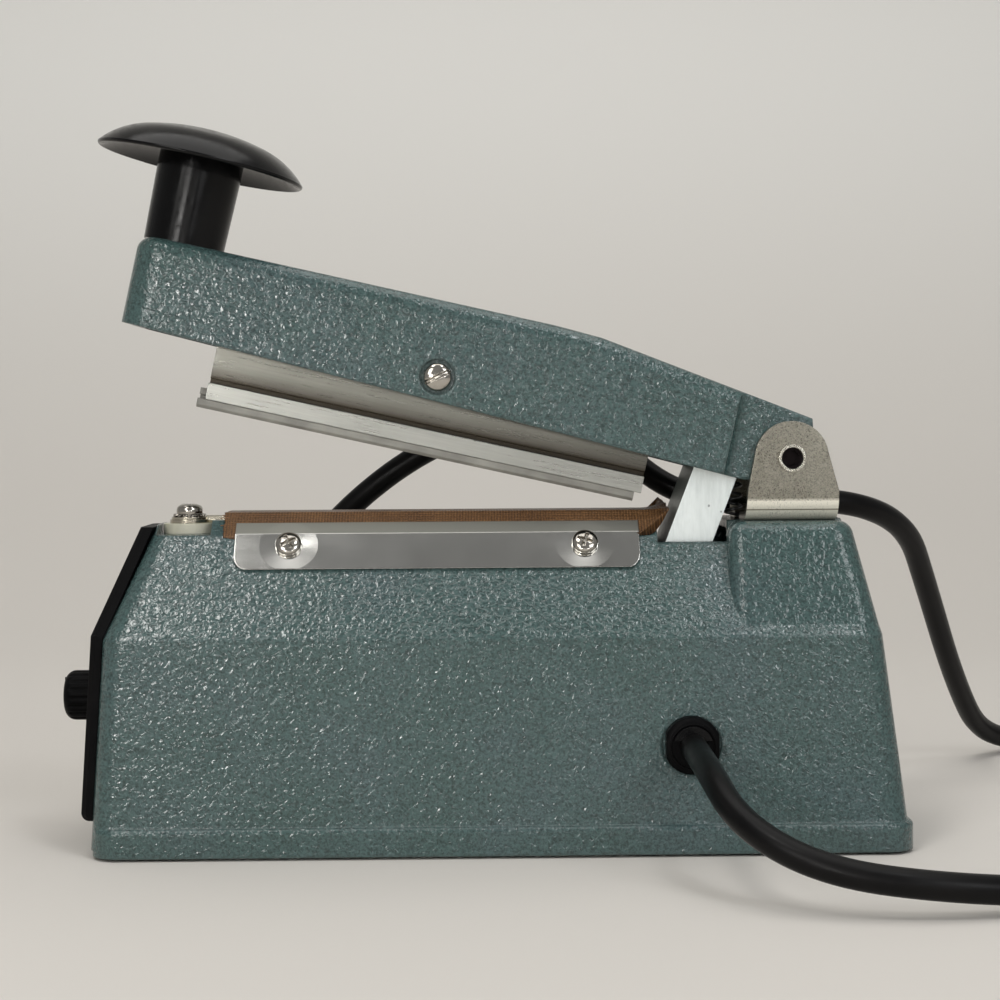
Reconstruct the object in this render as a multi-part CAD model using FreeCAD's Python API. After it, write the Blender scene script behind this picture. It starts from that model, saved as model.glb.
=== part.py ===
import FreeCAD
import Part
import math
import os
from FreeCAD import Vector

os.makedirs("parts", exist_ok=True)

# Frame: millimetres, +Z up, X along the machine with the hinge at +X,
# the side of the power cord faces -Y, the table is z = 0 under the middle of the base.

# Base casting
BASE_LENGTH = 217.4
BASE_WIDTH = 75.0
LIP_HEIGHT = 7.6
LIP_PROUD = 1.5
FOOT_PROUD = 0.8
FOOT_R = 6.0
CREASE_Z = 57.4
SIDE_DRAFT = 2.4
DECK_Z = 88.0
DECK_HALF = 9.5
SHOULDER_DROP = 4.0
SHOULDER_HALF = 14.5
WALL = 3.0
CORNER_R = 6.0
PANEL_END_LEAN = 3.0
PANEL_END_TOP_IN = 12.0
HINGE_END_LEAN = 6.2
HINGE_END_TOP_IN = 7.2

# Raised block under the hinge
BLOCK_X0 = 61.0
BLOCK_Z = 87.2
BLOCK_HALF_TOP = 23.5
BLOCK_HALF_LOW = 32.6
BLOCK_ROOT = 6.0
BLOCK_EDGE_R = 4.2

# Slot in the ridge for the lever
SLOT_X0 = 42.4
SLOT_X1 = 61.9
SLOT_HALF = 16.2

# Hinge
PIN_X = 78.5
PIN_Z = 104.1
PIN_R = 3.0
PIN_FIT = 0.05
PIN_HEAD_R = 3.7
SOCKET_R = 2.3
SOCKET_RIM_R = 2.9
OPEN_TILT = 12.6
BRACKET_T = 2.0
BRACKET_HALF = 19.0
EAR_R = 10.0
EAR_BASE_HALF = 12.5
BRACKET_BEND = 6.0
SIDE_GAP = 0.6

# Arm, drawn level about the pin and then tilted open
ARM_U0 = -185.0
ARM_TOP = 21.9
ARM_HALF = 19.0
ARM_WALL = 3.0
ARM_ROOF = 3.2
ARM_KINK_U = -57.0
ARM_KINK_W = 21.0
ARM_BEND_U = -70.0
ARM_BEND_DROP = 0.3
ARM_FLAT_U = -157.0
ARM_TAIL_U = 3.5
ARM_TAIL_W = 11.8
ARM_BOTTOM_FRONT = -2.3
ARM_BOTTOM_TAIL = -8.4
TAIL_R = 8.0
ARM_CORNER_R = 8.0
ARM_EDGE_R = 4.0

# Palm knob
KNOB_U = -174.6
STEM_R_LOW = 11.1
STEM_R_TOP = 11.6
STEM_LENGTH = 20.5
CAP_R = 28.5
CAP_CROWN = 9.2

# Press bar and its rubber
BAR_LENGTH = 122.4
BAR_PIVOT_U = -98.0
BAR_PIVOT_W = 1.1
BAR_HEAD_HALF = 7.0
BAR_HEAD_TOP = -13.4
BAR_HEAD_BOTTOM = -18.0
BAR_NECK_HALF = 4.0
BAR_NECK_TOP = -12.1
BAR_WEB_HALF = 5.0
BAR_WEB_TOP = 6.0
RUBBER_SLIP = 2.1
RUBBER_PROUD = 2.6
RUBBER_NECK_HALF = 2.6
RUBBER_LIP_HALF = 4.6
CROSS_SCREW_R = 2.0
CROSS_FIT = 0.06

# Lever
LEVER_T = 1.5
LEVER_HALF = 14.0
LEVER_DEPTH = 12.0
LEVER_LEAN = 8.4
LEVER_U = -24.8
LEVER_W = -7.6
LEVER_DOWN = 33.0
LEVER_UP = 19.6

# Sealing deck, from the metal upwards
STRIP_T = 1.5
STRIP_HALF = 7.5
ELEMENT_T = 0.25
ELEMENT_HALF = 1.5
CLOTH_T = 0.3
TERMINAL_IN = 22.4
TERMINAL_X = -BASE_LENGTH / 2 + TERMINAL_IN
CLOTH_X0 = TERMINAL_X + 10.8
CLOTH_X1 = 39.2
PLATE_T = 0.8
PLATE_X0 = CLOTH_X0 + 3.5
PLATE_X1 = 37.4
PLATE_LOW_Z = 75.3
PLATE_TOP_Z = 87.3
PLATE_CORNER_R = 3.4
TERMINAL_SEAT_Z = 84.2
TERMINAL_STEP_Z = 86.9
BUSH_T = 2.8
BUSH_R = 7.2
LUG_T = 1.0
LUG_R = 5.45
BARREL_R = 1.1
BARREL_END_X = CLOTH_X0 - 0.7
WASHER_T = 0.8
WASHER_R = 5.0
SPRING_WASHER_R = 3.9
TERMINAL_SCREW_R = 1.95
REAR_X = 33.3
REAR_SCREW_X = 25.0

# Front panel
PANEL_T = 3.4
PANEL_HALF_LOW = 30.5
PANEL_HALF_MID = 28.6
PANEL_HALF_TOP = 11.5
PANEL_TOP_Z = 86.4
PANEL_ROUND = 2.2
DIAL_Z = 39.2
DIAL_R = 6.9
DIAL_PROUD = 11.0
DIAL_ROUND = 2.9

# Power cord
CORD_R = 3.5
GLAND_X = 49.4
GLAND_Z = 29.3
GLAND_HEAD_R = 7.6
GLAND_HEAD_T = 4.4
GLAND_FLAT = 6.9


def box(x0, x1, y0, y1, z0, z1):
    return Part.makeBox(x1 - x0, y1 - y0, z1 - z0, Vector(x0, y0, z0))


def cyl(x, y, z, r, h, direction=(0, 0, 1)):
    return Part.makeCylinder(r, h, Vector(x, y, z), Vector(*direction))


def face_of(points):
    return Part.Face(Part.makePolygon([Vector(*p) for p in points] + [Vector(*points[0])]))


def along_y(points, half):
    face = face_of([(x, -half, z) for x, z in points])
    return face.extrude(Vector(0, 2 * half, 0))


def slab_y(points, y0, y1):
    face = face_of([(x, y0, z) for x, z in points])
    return face.extrude(Vector(0, y1 - y0, 0))


def along_x(points, x0, x1):
    face = face_of([(x0, y, z) for y, z in points])
    return face.extrude(Vector(x1 - x0, 0, 0))


def mirrored(points):
    return points + [(-y, z) for y, z in reversed(points)]


def fused(shapes):
    whole = shapes[0]
    for other in shapes[1:]:
        whole = whole.fuse(other)
    return whole.removeSplitter()


def cut(shape, tools):
    for tool in tools:
        shape = shape.cut(tool)
    return shape


def edges_where(shape, test):
    found = []
    for edge in shape.Edges:
        ends = [v.Point for v in edge.Vertexes]
        if len(ends) == 2 and test(ends[0], ends[1]):
            found.append(edge)
    return found


def end_face_x(z):
    return PANEL_END_LOW + PANEL_END_LEAN * (z - LIP_TOP) / (CREASE_Z - LIP_TOP)


def export(name, shape):
    # The drawing starts at the middle of the base; the frame is the middle of base and dial
    shape = shape.copy()
    shape.translate(Vector(-MIDDLE_X, 0, 0))
    shape.exportStep("parts/" + name + ".step")
    solids = shape.Solids
    print(name, "solids", len(solids), "volume", round(shape.Volume, 1), "valid", shape.isValid())


def opened(shape):
    # From the level drawing about the pin to the open arm in the machine's frame
    shape = shape.copy()
    shape.rotate(Vector(0, 0, 0), Vector(0, 1, 0), OPEN_TILT)
    shape.translate(Vector(PIN_X, 0, PIN_Z))
    return shape


def plain_screw(x, y, z, direction, shank_r, shank_length, head_r, head_h):
    # Screws out of sight: a plain head and shank
    out = Vector(*direction).normalize()
    head = Part.makeCylinder(head_r, head_h, Vector(x, y, z), out)
    return head.fuse(Part.makeCylinder(shank_r, shank_length, Vector(x, y, z), out * -1))


def pan_screw(x, y, z, direction, shank_r, shank_length, head_r, head_h, slot_turn=20.0):
    # Head with its underside at the given point, direction pointing out of the head
    head = cyl(0, 0, 0, head_r, head_h)
    upper_rim = [e for e in head.Edges if e.BoundBox.ZMin > head_h * 0.9]
    head = head.makeChamfer(min(head_h * 0.4, head_r * 0.3), upper_rim)
    arm_a = box(-head_r * 0.62, head_r * 0.62, -head_r * 0.13, head_r * 0.13, head_h * 0.45, head_h + 1)
    arm_b = arm_a.copy()
    arm_b.rotate(Vector(0, 0, 0), Vector(0, 0, 1), 90)
    recess = arm_a.fuse(arm_b)
    recess.rotate(Vector(0, 0, 0), Vector(0, 0, 1), slot_turn)
    screw = head.cut(recess).fuse(cyl(0, 0, -shank_length, shank_r, shank_length))
    axis = Vector(0, 0, 1).cross(Vector(*direction))
    if axis.Length > 1e-6:
        angle = math.degrees(Vector(0, 0, 1).getAngle(Vector(*direction)))
        screw.rotate(Vector(0, 0, 0), axis, angle)
    elif direction[2] < 0:
        screw.rotate(Vector(0, 0, 0), Vector(1, 0, 0), 180)
    screw.translate(Vector(x, y, z))
    return screw


# Outline of the base

HALF_LENGTH = BASE_LENGTH / 2
HALF_WIDTH = BASE_WIDTH / 2
LIP_TOP = FOOT_PROUD + LIP_HEIGHT
SIDE_LOW = HALF_WIDTH - LIP_PROUD
SIDE_HIGH = SIDE_LOW - SIDE_DRAFT
PANEL_END_LOW = -HALF_LENGTH
PANEL_END_MID = PANEL_END_LOW + PANEL_END_LEAN
PANEL_END_HIGH = PANEL_END_MID + PANEL_END_TOP_IN
HINGE_END_LOW = HALF_LENGTH - LIP_PROUD
HINGE_END_MID = HINGE_END_LOW - HINGE_END_LEAN
HINGE_END_HIGH = HINGE_END_MID - HINGE_END_TOP_IN
FLANK_SLOPE = (DECK_Z - SHOULDER_DROP - CREASE_Z) / (SIDE_HIGH - SHOULDER_HALF)
POINTER_PROUD = 0.25
DIAL_BASE_X = end_face_x(DIAL_Z) - PANEL_T
DIAL_TIP_X = DIAL_BASE_X - DIAL_PROUD
MIDDLE_X = (DIAL_TIP_X - POINTER_PROUD + HALF_LENGTH) / 2
print("middle", MIDDLE_X)


SECTION_BELOW = 6.0


def ridge_section(inset):
    # Half outline of the base across its length, walked inwards by the inset
    low = LIP_TOP - SECTION_BELOW
    spread = SIDE_DRAFT * SECTION_BELOW / (CREASE_Z - LIP_TOP)
    flank_run = math.hypot(SIDE_HIGH - SHOULDER_HALF, DECK_Z - SHOULDER_DROP - CREASE_Z)
    drop = inset * flank_run / (DECK_Z - SHOULDER_DROP - CREASE_Z)
    points = [
        (SIDE_LOW - inset + spread, low),
        (SIDE_HIGH - inset, CREASE_Z - 0.5 * inset),
        (SHOULDER_HALF - drop * 0.86, DECK_Z - SHOULDER_DROP - inset * 0.36),
        (DECK_HALF - inset * 0.36, DECK_Z - inset),
    ]
    return mirrored(points)


def length_section(inset, floor):
    below = (LIP_TOP - floor) / (CREASE_Z - LIP_TOP)
    return [
        (PANEL_END_LOW + inset - PANEL_END_LEAN * below, floor),
        (PANEL_END_MID + inset, CREASE_Z),
        (PANEL_END_HIGH + inset, DECK_Z + 0.6 - inset),
        (HINGE_END_HIGH - inset, DECK_Z + 0.6 - inset),
        (HINGE_END_MID - inset, CREASE_Z),
        (HINGE_END_LOW - inset + HINGE_END_LEAN * below, floor),
    ]


def block_form(inset):
    section = mirrored([
        (BLOCK_HALF_LOW - inset, CREASE_Z - BLOCK_ROOT),
        (BLOCK_HALF_LOW - inset, CREASE_Z - 1.0),
        (BLOCK_HALF_TOP - inset, BLOCK_Z - inset),
    ])
    return along_x(section, BLOCK_X0 + inset, HINGE_END_LOW)


def rounded_ring(x0, x1, half, z, radius):
    # Level outline with a rounded corner at each quarter turn
    centres = [
        (x1 - radius, -half + radius, -90), (x1 - radius, half - radius, 0),
        (x0 + radius, half - radius, 90), (x0 + radius, -half + radius, 180),
    ]
    bends = []
    for cx, cy, first in centres:
        bend = []
        for turn in (0, 45, 90):
            a = math.radians(first + turn)
            bend.append(Vector(cx + radius * math.cos(a), cy + radius * math.sin(a), z))
        bends.append(bend)
    pieces = []
    for i, (start, middle, end) in enumerate(bends):
        pieces.append(Part.LineSegment(bends[i - 1][2], start).toShape())
        pieces.append(Part.Arc(start, middle, end).toShape())
    return Part.Wire(pieces)


def end_lines(inset, z):
    # X of the two sloping ends at a height
    if z <= CREASE_Z:
        part = (z - LIP_TOP) / (CREASE_Z - LIP_TOP)
        left = PANEL_END_LOW + PANEL_END_LEAN * part
        right = HINGE_END_LOW - HINGE_END_LEAN * part
    else:
        part = (z - CREASE_Z) / (DECK_Z + 0.6 - CREASE_Z)
        left = PANEL_END_MID + PANEL_END_TOP_IN * part
        right = HINGE_END_MID - HINGE_END_TOP_IN * part
    return left + inset, right - inset


def ridge_solid(inset):
    # Levels of the outline with rounded corners, joined by flat faces
    rings = []
    radius = CORNER_R - inset * 0.8
    for half, z in ridge_section(inset)[:4]:
        x0, x1 = end_lines(inset, z)
        rings.append(rounded_ring(x0, x1, half, z, radius))
    return Part.makeLoft(rings, True, True)


# Base casting
body = ridge_solid(0)
block = block_form(0).common(along_y(length_section(0, CREASE_Z - BLOCK_ROOT), HALF_WIDTH + 5))


def upright(a, b):
    return abs(a.z - b.z) > 15 and a.y * b.y > 0


hinge_corners = edges_where(block, lambda a, b: upright(a, b) and min(a.x, b.x) > BLOCK_X0 + 5)
block = block.makeFillet(CORNER_R, hinge_corners)
slot_corners = edges_where(block, lambda a, b: upright(a, b) and max(a.x, b.x) < BLOCK_X0 + 5)
block = block.makeFillet(BLOCK_EDGE_R, slot_corners)
block = block.makeFillet(BLOCK_EDGE_R, [e for e in block.Edges if e.BoundBox.ZMin > BLOCK_Z - 0.01])
crease_x0, crease_x1 = end_lines(0, CREASE_Z)
crease_ring = rounded_ring(crease_x0, crease_x1, SIDE_HIGH, CREASE_Z - BLOCK_ROOT, CORNER_R)
block = block.common(Part.Face(crease_ring).extrude(Vector(0, 0, DECK_Z)))
body = body.fuse(block)
body = body.cut(box(BLOCK_X0, HALF_LENGTH, -HALF_WIDTH, HALF_WIDTH, BLOCK_Z, DECK_Z + 5))
lip = box(-HALF_LENGTH, HALF_LENGTH, -HALF_WIDTH, HALF_WIDTH, FOOT_PROUD, LIP_TOP)
lip = lip.makeFillet(CORNER_R + 1.5, edges_where(lip, lambda a, b: abs(a.z - b.z) > 2))
lip = lip.makeFillet(1.4, [e for e in lip.Edges if e.BoundBox.ZMin > LIP_TOP - 0.1])
body = body.fuse(lip)

hollow = ridge_solid(WALL)
under_block = block_form(WALL).common(along_y(length_section(WALL, CREASE_Z - BLOCK_ROOT), HALF_WIDTH + 5))
mouth = box(-HALF_LENGTH + WALL, HINGE_END_LOW - WALL, -SIDE_LOW + WALL, SIDE_LOW - WALL, 0, LIP_TOP - 1.0)
body = cut(body, [hollow, under_block, mouth])

slot = box(SLOT_X0, SLOT_X1, -SLOT_HALF, SLOT_HALF, CREASE_Z + 12, DECK_Z + 5)
for side in (-1, 1):
    y0, y1 = sorted((side * (LEVER_HALF - 3.0), side * SLOT_HALF))
    slot = slot.fuse(box(SLOT_X1 - 1, SLOT_X1 + 2.2, y0, y1, CREASE_Z + 12, DECK_Z + 5))
gland_wall_y = -(SIDE_LOW - SIDE_DRAFT * (GLAND_Z - LIP_TOP) / (CREASE_Z - LIP_TOP))
GLAND_SEAT_Y = gland_wall_y + 0.4
gland_seat = cyl(GLAND_X, GLAND_SEAT_Y, GLAND_Z, GLAND_HEAD_R + 0.3, 6.0, (0, -1, 0))
gland_hole = cyl(GLAND_X, gland_wall_y + 6.0, GLAND_Z, 6.0, 10.0, (0, -1, 0))
panel_window = box(-HALF_LENGTH - 2, -HALF_LENGTH + 12, -18.0, 18.0, 18.0, 54.0)
lamp_window = box(-HALF_LENGTH - 2, -HALF_LENGTH + 16, -6.5, 6.5, 60.0, 74.0)
front_hole = cyl(TERMINAL_X, 0, DECK_Z - 12, 3.6, 12)
seat_half = BUSH_R + 0.25
terminal_seat = box(TERMINAL_X - seat_half, TERMINAL_X + seat_half, -20, 20, TERMINAL_SEAT_Z, DECK_Z + 5)
terminal_seat = terminal_seat.fuse(box(-HALF_LENGTH, TERMINAL_X, -20, 20, TERMINAL_STEP_Z, DECK_Z + 5))
BARREL_Z = DECK_Z
channel_half = BARREL_R + 0.7
channel_low = BARREL_Z - BARREL_R - 0.3
barrel_channel = box(TERMINAL_X, CLOTH_X0 - 0.4, -channel_half, channel_half, channel_low, DECK_Z + 2)
terminal_seat = terminal_seat.fuse(barrel_channel)
rear_sink = Part.makeCone(1.6, 3.2, 1.6, Vector(REAR_SCREW_X, 0, DECK_Z - 1.6))
rear_hole = cyl(REAR_SCREW_X, 0, DECK_Z - 5, 1.6, 6).fuse(rear_sink)
rear_slit = box(REAR_X - 0.1, REAR_X + 1.3, -3.0, 3.0, DECK_Z - 8, DECK_Z + 2)
terminal_boss = box(TERMINAL_X - 10, TERMINAL_X + 10, -16, 16, DECK_Z - 9.0, DECK_Z - 2.0)
body = body.fuse(terminal_boss.common(ridge_solid(1.0)))
body = cut(body, [slot, gland_seat, gland_hole, panel_window, lamp_window])
body = cut(body, [terminal_seat, front_hole, rear_hole, rear_slit])

# Bosses inside the casting for the cover, the switch plate and the bracket
COVER_SCREW_X = HALF_LENGTH - 20.7
COVER_SCREW_Y = HALF_WIDTH - 11.0
COVER_SCREWS = [(x, y) for x in (-COVER_SCREW_X, COVER_SCREW_X) for y in (-COVER_SCREW_Y, COVER_SCREW_Y)]
COVER_Z0 = 2.2
COVER_T = 1.2
COVER_TOP = COVER_Z0 + COVER_T
COVER_IN = 4.5
bosses = []
for x, y in COVER_SCREWS:
    column = cyl(x, y, COVER_Z0 + COVER_T, 4.2, 40.0)
    wall_y = y + math.copysign(8.0, y)
    bridge = box(x - 2.0, x + 2.0, min(y, wall_y), max(y, wall_y), 6.0, 40.0)
    bosses.append(column.fuse(bridge))
SWITCH_BOSS_X = 32.0
bosses.append(box(27.5, 36.5, 5.1, 14.2, 80.6, DECK_Z - 1.5))
below = box(
    -HALF_LENGTH + 8.7, HALF_LENGTH - 8.7, -HALF_WIDTH + 2.5, HALF_WIDTH - 2.5, COVER_Z0 + COVER_T, LIP_TOP)
envelope = ridge_solid(1.0).fuse(below)
for boss in bosses:
    body = body.fuse(boss.common(envelope))
BRACKET_SCREWS = [(75.0, -9.2), (75.0, 9.2), (87.5, -9.2), (87.5, 9.2)]
for x, y in COVER_SCREWS:
    body = body.cut(cyl(x, y, COVER_Z0, 1.25, 10.0))
for x, y in BRACKET_SCREWS:
    body = body.cut(cyl(x, y, BLOCK_Z - 8.0, 2.0, 12.0))
body = body.cut(cyl(SWITCH_BOSS_X, 9.2, 79.0, 1.25, 5.6))
body = body.removeSplitter()

# Panel screw holes, square to the lower end face
END_LEAN = math.degrees(math.atan2(PANEL_END_LEAN, CREASE_Z - LIP_TOP))
END_NORMAL = (-math.cos(math.radians(END_LEAN)), 0, math.sin(math.radians(END_LEAN)))

PANEL_SCREWS = [(-24.0, 14.5), (24.0, 14.5), (-23.0, 53.0), (23.0, 53.0)]
for y, z in PANEL_SCREWS:
    start = Vector(end_face_x(z), y, z) - Vector(*END_NORMAL) * 6.0
    body = body.cut(Part.makeCylinder(1.25, 8.0, start, Vector(*END_NORMAL)))

# Front panel
upper_slope = math.hypot(PANEL_END_TOP_IN, DECK_Z + 0.6 - CREASE_Z)
upper_run = PANEL_T * upper_slope / (DECK_Z + 0.6 - CREASE_Z)
top_face_x = end_lines(0, PANEL_TOP_Z)[0]
panel_low_z = LIP_TOP + 1.0
panel = along_y([
    (end_face_x(panel_low_z), panel_low_z),
    (PANEL_END_MID, CREASE_Z),
    (top_face_x, PANEL_TOP_Z),
    (top_face_x - upper_run, PANEL_TOP_Z),
    (PANEL_END_MID - PANEL_T, CREASE_Z + 1.0),
    (end_face_x(panel_low_z) - PANEL_T, panel_low_z),
], HALF_WIDTH)
crossing = edges_where(panel, lambda a, b: abs(a.y - b.y) > BASE_WIDTH / 2 and a.x < end_face_x(a.z) - 1.0)
low_edge = [e for e in crossing if e.BoundBox.ZMax < CREASE_Z - 10]
panel = panel.makeFillet(PANEL_ROUND, low_edge)
panel_face = mirrored([
    (PANEL_HALF_LOW, panel_low_z - 1),
    (PANEL_HALF_MID, CREASE_Z + 1.0),
    (PANEL_HALF_TOP, PANEL_TOP_Z + 1),
])
panel = panel.common(along_x(panel_face, -HALF_LENGTH - 20, 0))


def along_panel_side(a, b):
    # Outer long edges of the plate, below and above its bend
    middle = (a + b) * 0.5
    if a.y * b.y <= 0 or abs(a.z - b.z) <= 10:
        return False
    if middle.z < CREASE_Z:
        return middle.x < end_face_x(middle.z) - 1.0
    return middle.x < (PANEL_END_MID + top_face_x) / 2 - 1.5


panel = panel.makeChamfer(1.4, edges_where(panel, along_panel_side))
panel = panel.cut(cyl(DIAL_BASE_X - 2, 0, DIAL_Z, 3.6, 12, (1, 0, 0)))
LAMP_Z = 67.0
slope_tilt = math.atan2(PANEL_END_TOP_IN, DECK_Z + 0.6 - CREASE_Z)
LAMP_DIR = Vector(-math.cos(slope_tilt), 0, math.sin(slope_tilt))
lamp_face = Vector(end_lines(0, LAMP_Z)[0], 0, LAMP_Z)
panel = panel.cut(Part.makeCylinder(4.0, 14.0, lamp_face - LAMP_DIR * 5.0, LAMP_DIR))
for y, z in PANEL_SCREWS:
    face_point = Vector(end_face_x(z), y, z)
    behind = face_point - Vector(*END_NORMAL) * 3.0
    panel = panel.cut(Part.makeCylinder(1.7, 12.0, behind, Vector(*END_NORMAL)))
    rim = face_point + Vector(*END_NORMAL) * (PANEL_T - 1.7)
    panel = panel.cut(Part.makeCone(1.6, 3.6, 2.0, rim, Vector(*END_NORMAL)))

panel_screws = []
for y, z in PANEL_SCREWS:
    face_point = Vector(end_face_x(z), y, z)
    rim = face_point + Vector(*END_NORMAL) * (PANEL_T - 1.75)
    screw = Part.makeCone(1.2, 2.9, 1.7, rim, Vector(*END_NORMAL))
    screw = screw.fuse(Part.makeCylinder(1.2, 8.5, rim - Vector(*END_NORMAL) * 7.0, Vector(*END_NORMAL)))
    socket = Part.makeCylinder(1.1, 1.2, rim + Vector(*END_NORMAL) * 0.9, Vector(*END_NORMAL))
    panel_screws.append(screw.cut(socket))

export("front_panel", panel)
export("panel_screws", Part.makeCompound(panel_screws))

# Cover plate, its screws and the feet
cover_half = SIDE_LOW - COVER_IN
cover = box(
    -HALF_LENGTH + COVER_IN, HINGE_END_LOW - COVER_IN - 0.5, -cover_half, cover_half, COVER_Z0, COVER_TOP)
cover = cover.makeFillet(3.0, edges_where(cover, lambda a, b: abs(a.z - b.z) > 0.5))
CORE_X0 = -50.0
CORE_X1 = 14.0
STRAP_TOE = 12.0
STRAP_FEET = [(CORE_X0 - 7.0, 0.0), (CORE_X1 + 7.0, 0.0)]
for x, y in COVER_SCREWS:
    cover = cover.cut(cyl(x, y, 0, 1.6, 6))
for x, y in STRAP_FEET:
    cover = cover.cut(cyl(x, y, 0, 1.7, 6))
export("bottom_cover", cover)
cover_screws = [plain_screw(x, y, COVER_Z0, (0, 0, -1), 1.2, 8.0, 2.7, 1.2) for x, y in COVER_SCREWS]
export("cover_screws", Part.makeCompound(cover_screws))
FOOT_X = HALF_LENGTH - 36.7
FOOT_Y = HALF_WIDTH - 11.5
feet = []
for x in (-FOOT_X, FOOT_X):
    for y in (-FOOT_Y, FOOT_Y):
        feet.append(Part.makeCone(FOOT_R - 0.8, FOOT_R, COVER_Z0, Vector(x, y, 0), Vector(0, 0, 1)))
export("rubber_feet", Part.makeCompound(feet))

# Transformer: laminated core with two windows, its winding and the strap that holds it down
CORE_HALF = 14.0
CORE_TOP = 57.0
LIMB_T = 10.6
WINDOW_W = 10.8
WINDOW_HALF = 16.0
STRAP_T = 1.2
STRAP_HALF = 10.0
core = box(CORE_X0, CORE_X1, -CORE_HALF, CORE_HALF, COVER_TOP, CORE_TOP)
core_mid = (COVER_TOP + CORE_TOP) / 2
window_xs = (CORE_X0 + LIMB_T, CORE_X1 - LIMB_T - WINDOW_W)
window_z0 = core_mid - WINDOW_HALF
window_z1 = core_mid + WINDOW_HALF
for x in window_xs:
    core = core.cut(box(x, x + WINDOW_W, -CORE_HALF - 1, CORE_HALF + 1, window_z0, window_z1))
export("transformer_core", core)
coil_x0 = window_xs[0] + 0.8
coil_x1 = window_xs[1] + WINDOW_W - 0.8
coil_half = CORE_HALF + LIMB_T - 0.6
coil = box(coil_x0, coil_x1, -coil_half, coil_half, window_z0 + 0.6, window_z1 - 0.6)
coil = coil.makeFillet(6.0, edges_where(coil, lambda a, b: abs(a.z - b.z) > 2))
limb_x0 = window_xs[0] + WINDOW_W - 0.3
limb_x1 = window_xs[1] + 0.3
limb_half = CORE_HALF + 0.3
coil = coil.cut(box(limb_x0, limb_x1, -limb_half, limb_half, core_mid - 17.0, core_mid + 17.0))
export("transformer_coil", coil)
toe_x0 = CORE_X0 - STRAP_TOE
toe_x1 = CORE_X1 + STRAP_TOE
toe_top = COVER_TOP + STRAP_T
strap_profile = [
    (toe_x0, COVER_TOP), (CORE_X0, COVER_TOP), (CORE_X0, CORE_TOP), (CORE_X1, CORE_TOP),
    (CORE_X1, COVER_TOP), (toe_x1, COVER_TOP), (toe_x1, toe_top),
    (CORE_X1 + STRAP_T, toe_top), (CORE_X1 + STRAP_T, CORE_TOP + STRAP_T),
    (CORE_X0 - STRAP_T, CORE_TOP + STRAP_T), (CORE_X0 - STRAP_T, toe_top), (toe_x0, toe_top),
]
strap = along_y(strap_profile, STRAP_HALF)
for x, y in STRAP_FEET:
    strap = strap.cut(cyl(x, y, 0, 1.7, 8))
export("transformer_strap", strap)
strap_screws = []
for x, y in STRAP_FEET:
    screw = plain_screw(x, y, COVER_Z0, (0, 0, -1), 1.5, 6.0, 2.9, 1.2)
    nut = cyl(x, y, toe_top, 3.0, 2.4).cut(cyl(x, y, 0, 1.5, 10))
    strap_screws.append(screw.fuse(nut))
export("strap_screws", Part.makeCompound(strap_screws))

# Timer: potentiometer, board, knob and lamp
pot_x0 = end_face_x(DIAL_Z) + 3.2
pot_can = cyl(pot_x0, 0, DIAL_Z, 8.2, 9.0, (1, 0, 0))
pot = pot_can.fuse(box(pot_x0, pot_x0 + 9.0, -7.0, 7.0, DIAL_Z - 12.5, DIAL_Z))
pot = pot.fuse(cyl(DIAL_BASE_X - 1.9, 0, DIAL_Z, 3.4, pot_x0 - DIAL_BASE_X + 1.9, (1, 0, 0)))
pot = pot.cut(cyl(DIAL_BASE_X - 3, 0, DIAL_Z, 1.7, pot_x0 - DIAL_BASE_X + 7, (1, 0, 0)))
export("timer_pot", pot)
hexagon = []
for i in range(6):
    a = math.radians(60 * i)
    hexagon.append((5.0 * math.cos(a), DIAL_Z + 5.0 * math.sin(a)))
nut = along_x(hexagon, DIAL_BASE_X - 1.75, DIAL_BASE_X - 0.35)
nut = nut.cut(cyl(DIAL_BASE_X - 3, 0, DIAL_Z, 3.4, 5, (1, 0, 0)))
export("pot_nut", nut)
dial_tip_x = DIAL_TIP_X
dial = cyl(dial_tip_x, 0, DIAL_Z, DIAL_R, DIAL_PROUD - 2.0, (1, 0, 0))
dial = dial.makeFillet(DIAL_ROUND, [e for e in dial.Edges if e.BoundBox.XMax < dial_tip_x + 0.5])
for i in range(18):
    a = math.radians(20 * i)
    flute_y = (DIAL_R + 0.35) * math.cos(a)
    flute_z = DIAL_Z + (DIAL_R + 0.35) * math.sin(a)
    flute = cyl(dial_tip_x + 1.2, flute_y, flute_z, 0.75, DIAL_PROUD + 1.0, (1, 0, 0))
    dial = dial.cut(flute)
dial = dial.cut(cyl(dial_tip_x + 2.5, 0, DIAL_Z, 5.6, DIAL_PROUD, (1, 0, 0)))
dial = dial.fuse(cyl(dial_tip_x + 2.4, 0, DIAL_Z, 2.9, DIAL_PROUD - 4.8, (1, 0, 0)))
dial = dial.cut(cyl(dial_tip_x + 3.4, 0, DIAL_Z, 1.6, DIAL_PROUD, (1, 0, 0)))
pointer = box(dial_tip_x - POINTER_PROUD, dial_tip_x + 1.0, -0.5, 0.5, DIAL_Z + 1.0, DIAL_Z + 5.0)
dial = dial.fuse(pointer).removeSplitter()
export("timer_knob", dial)
shaft = cyl(dial_tip_x + 3.4, 0, DIAL_Z, 1.6, pot_x0 + 3.0 - dial_tip_x - 3.4, (1, 0, 0))
export("pot_shaft", shaft)
board_x0 = pot_x0 + 9.0
board = box(board_x0, board_x0 + 1.6, -26.0, 26.0, 14.0, 54.0)
export("timer_board", board)
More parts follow.
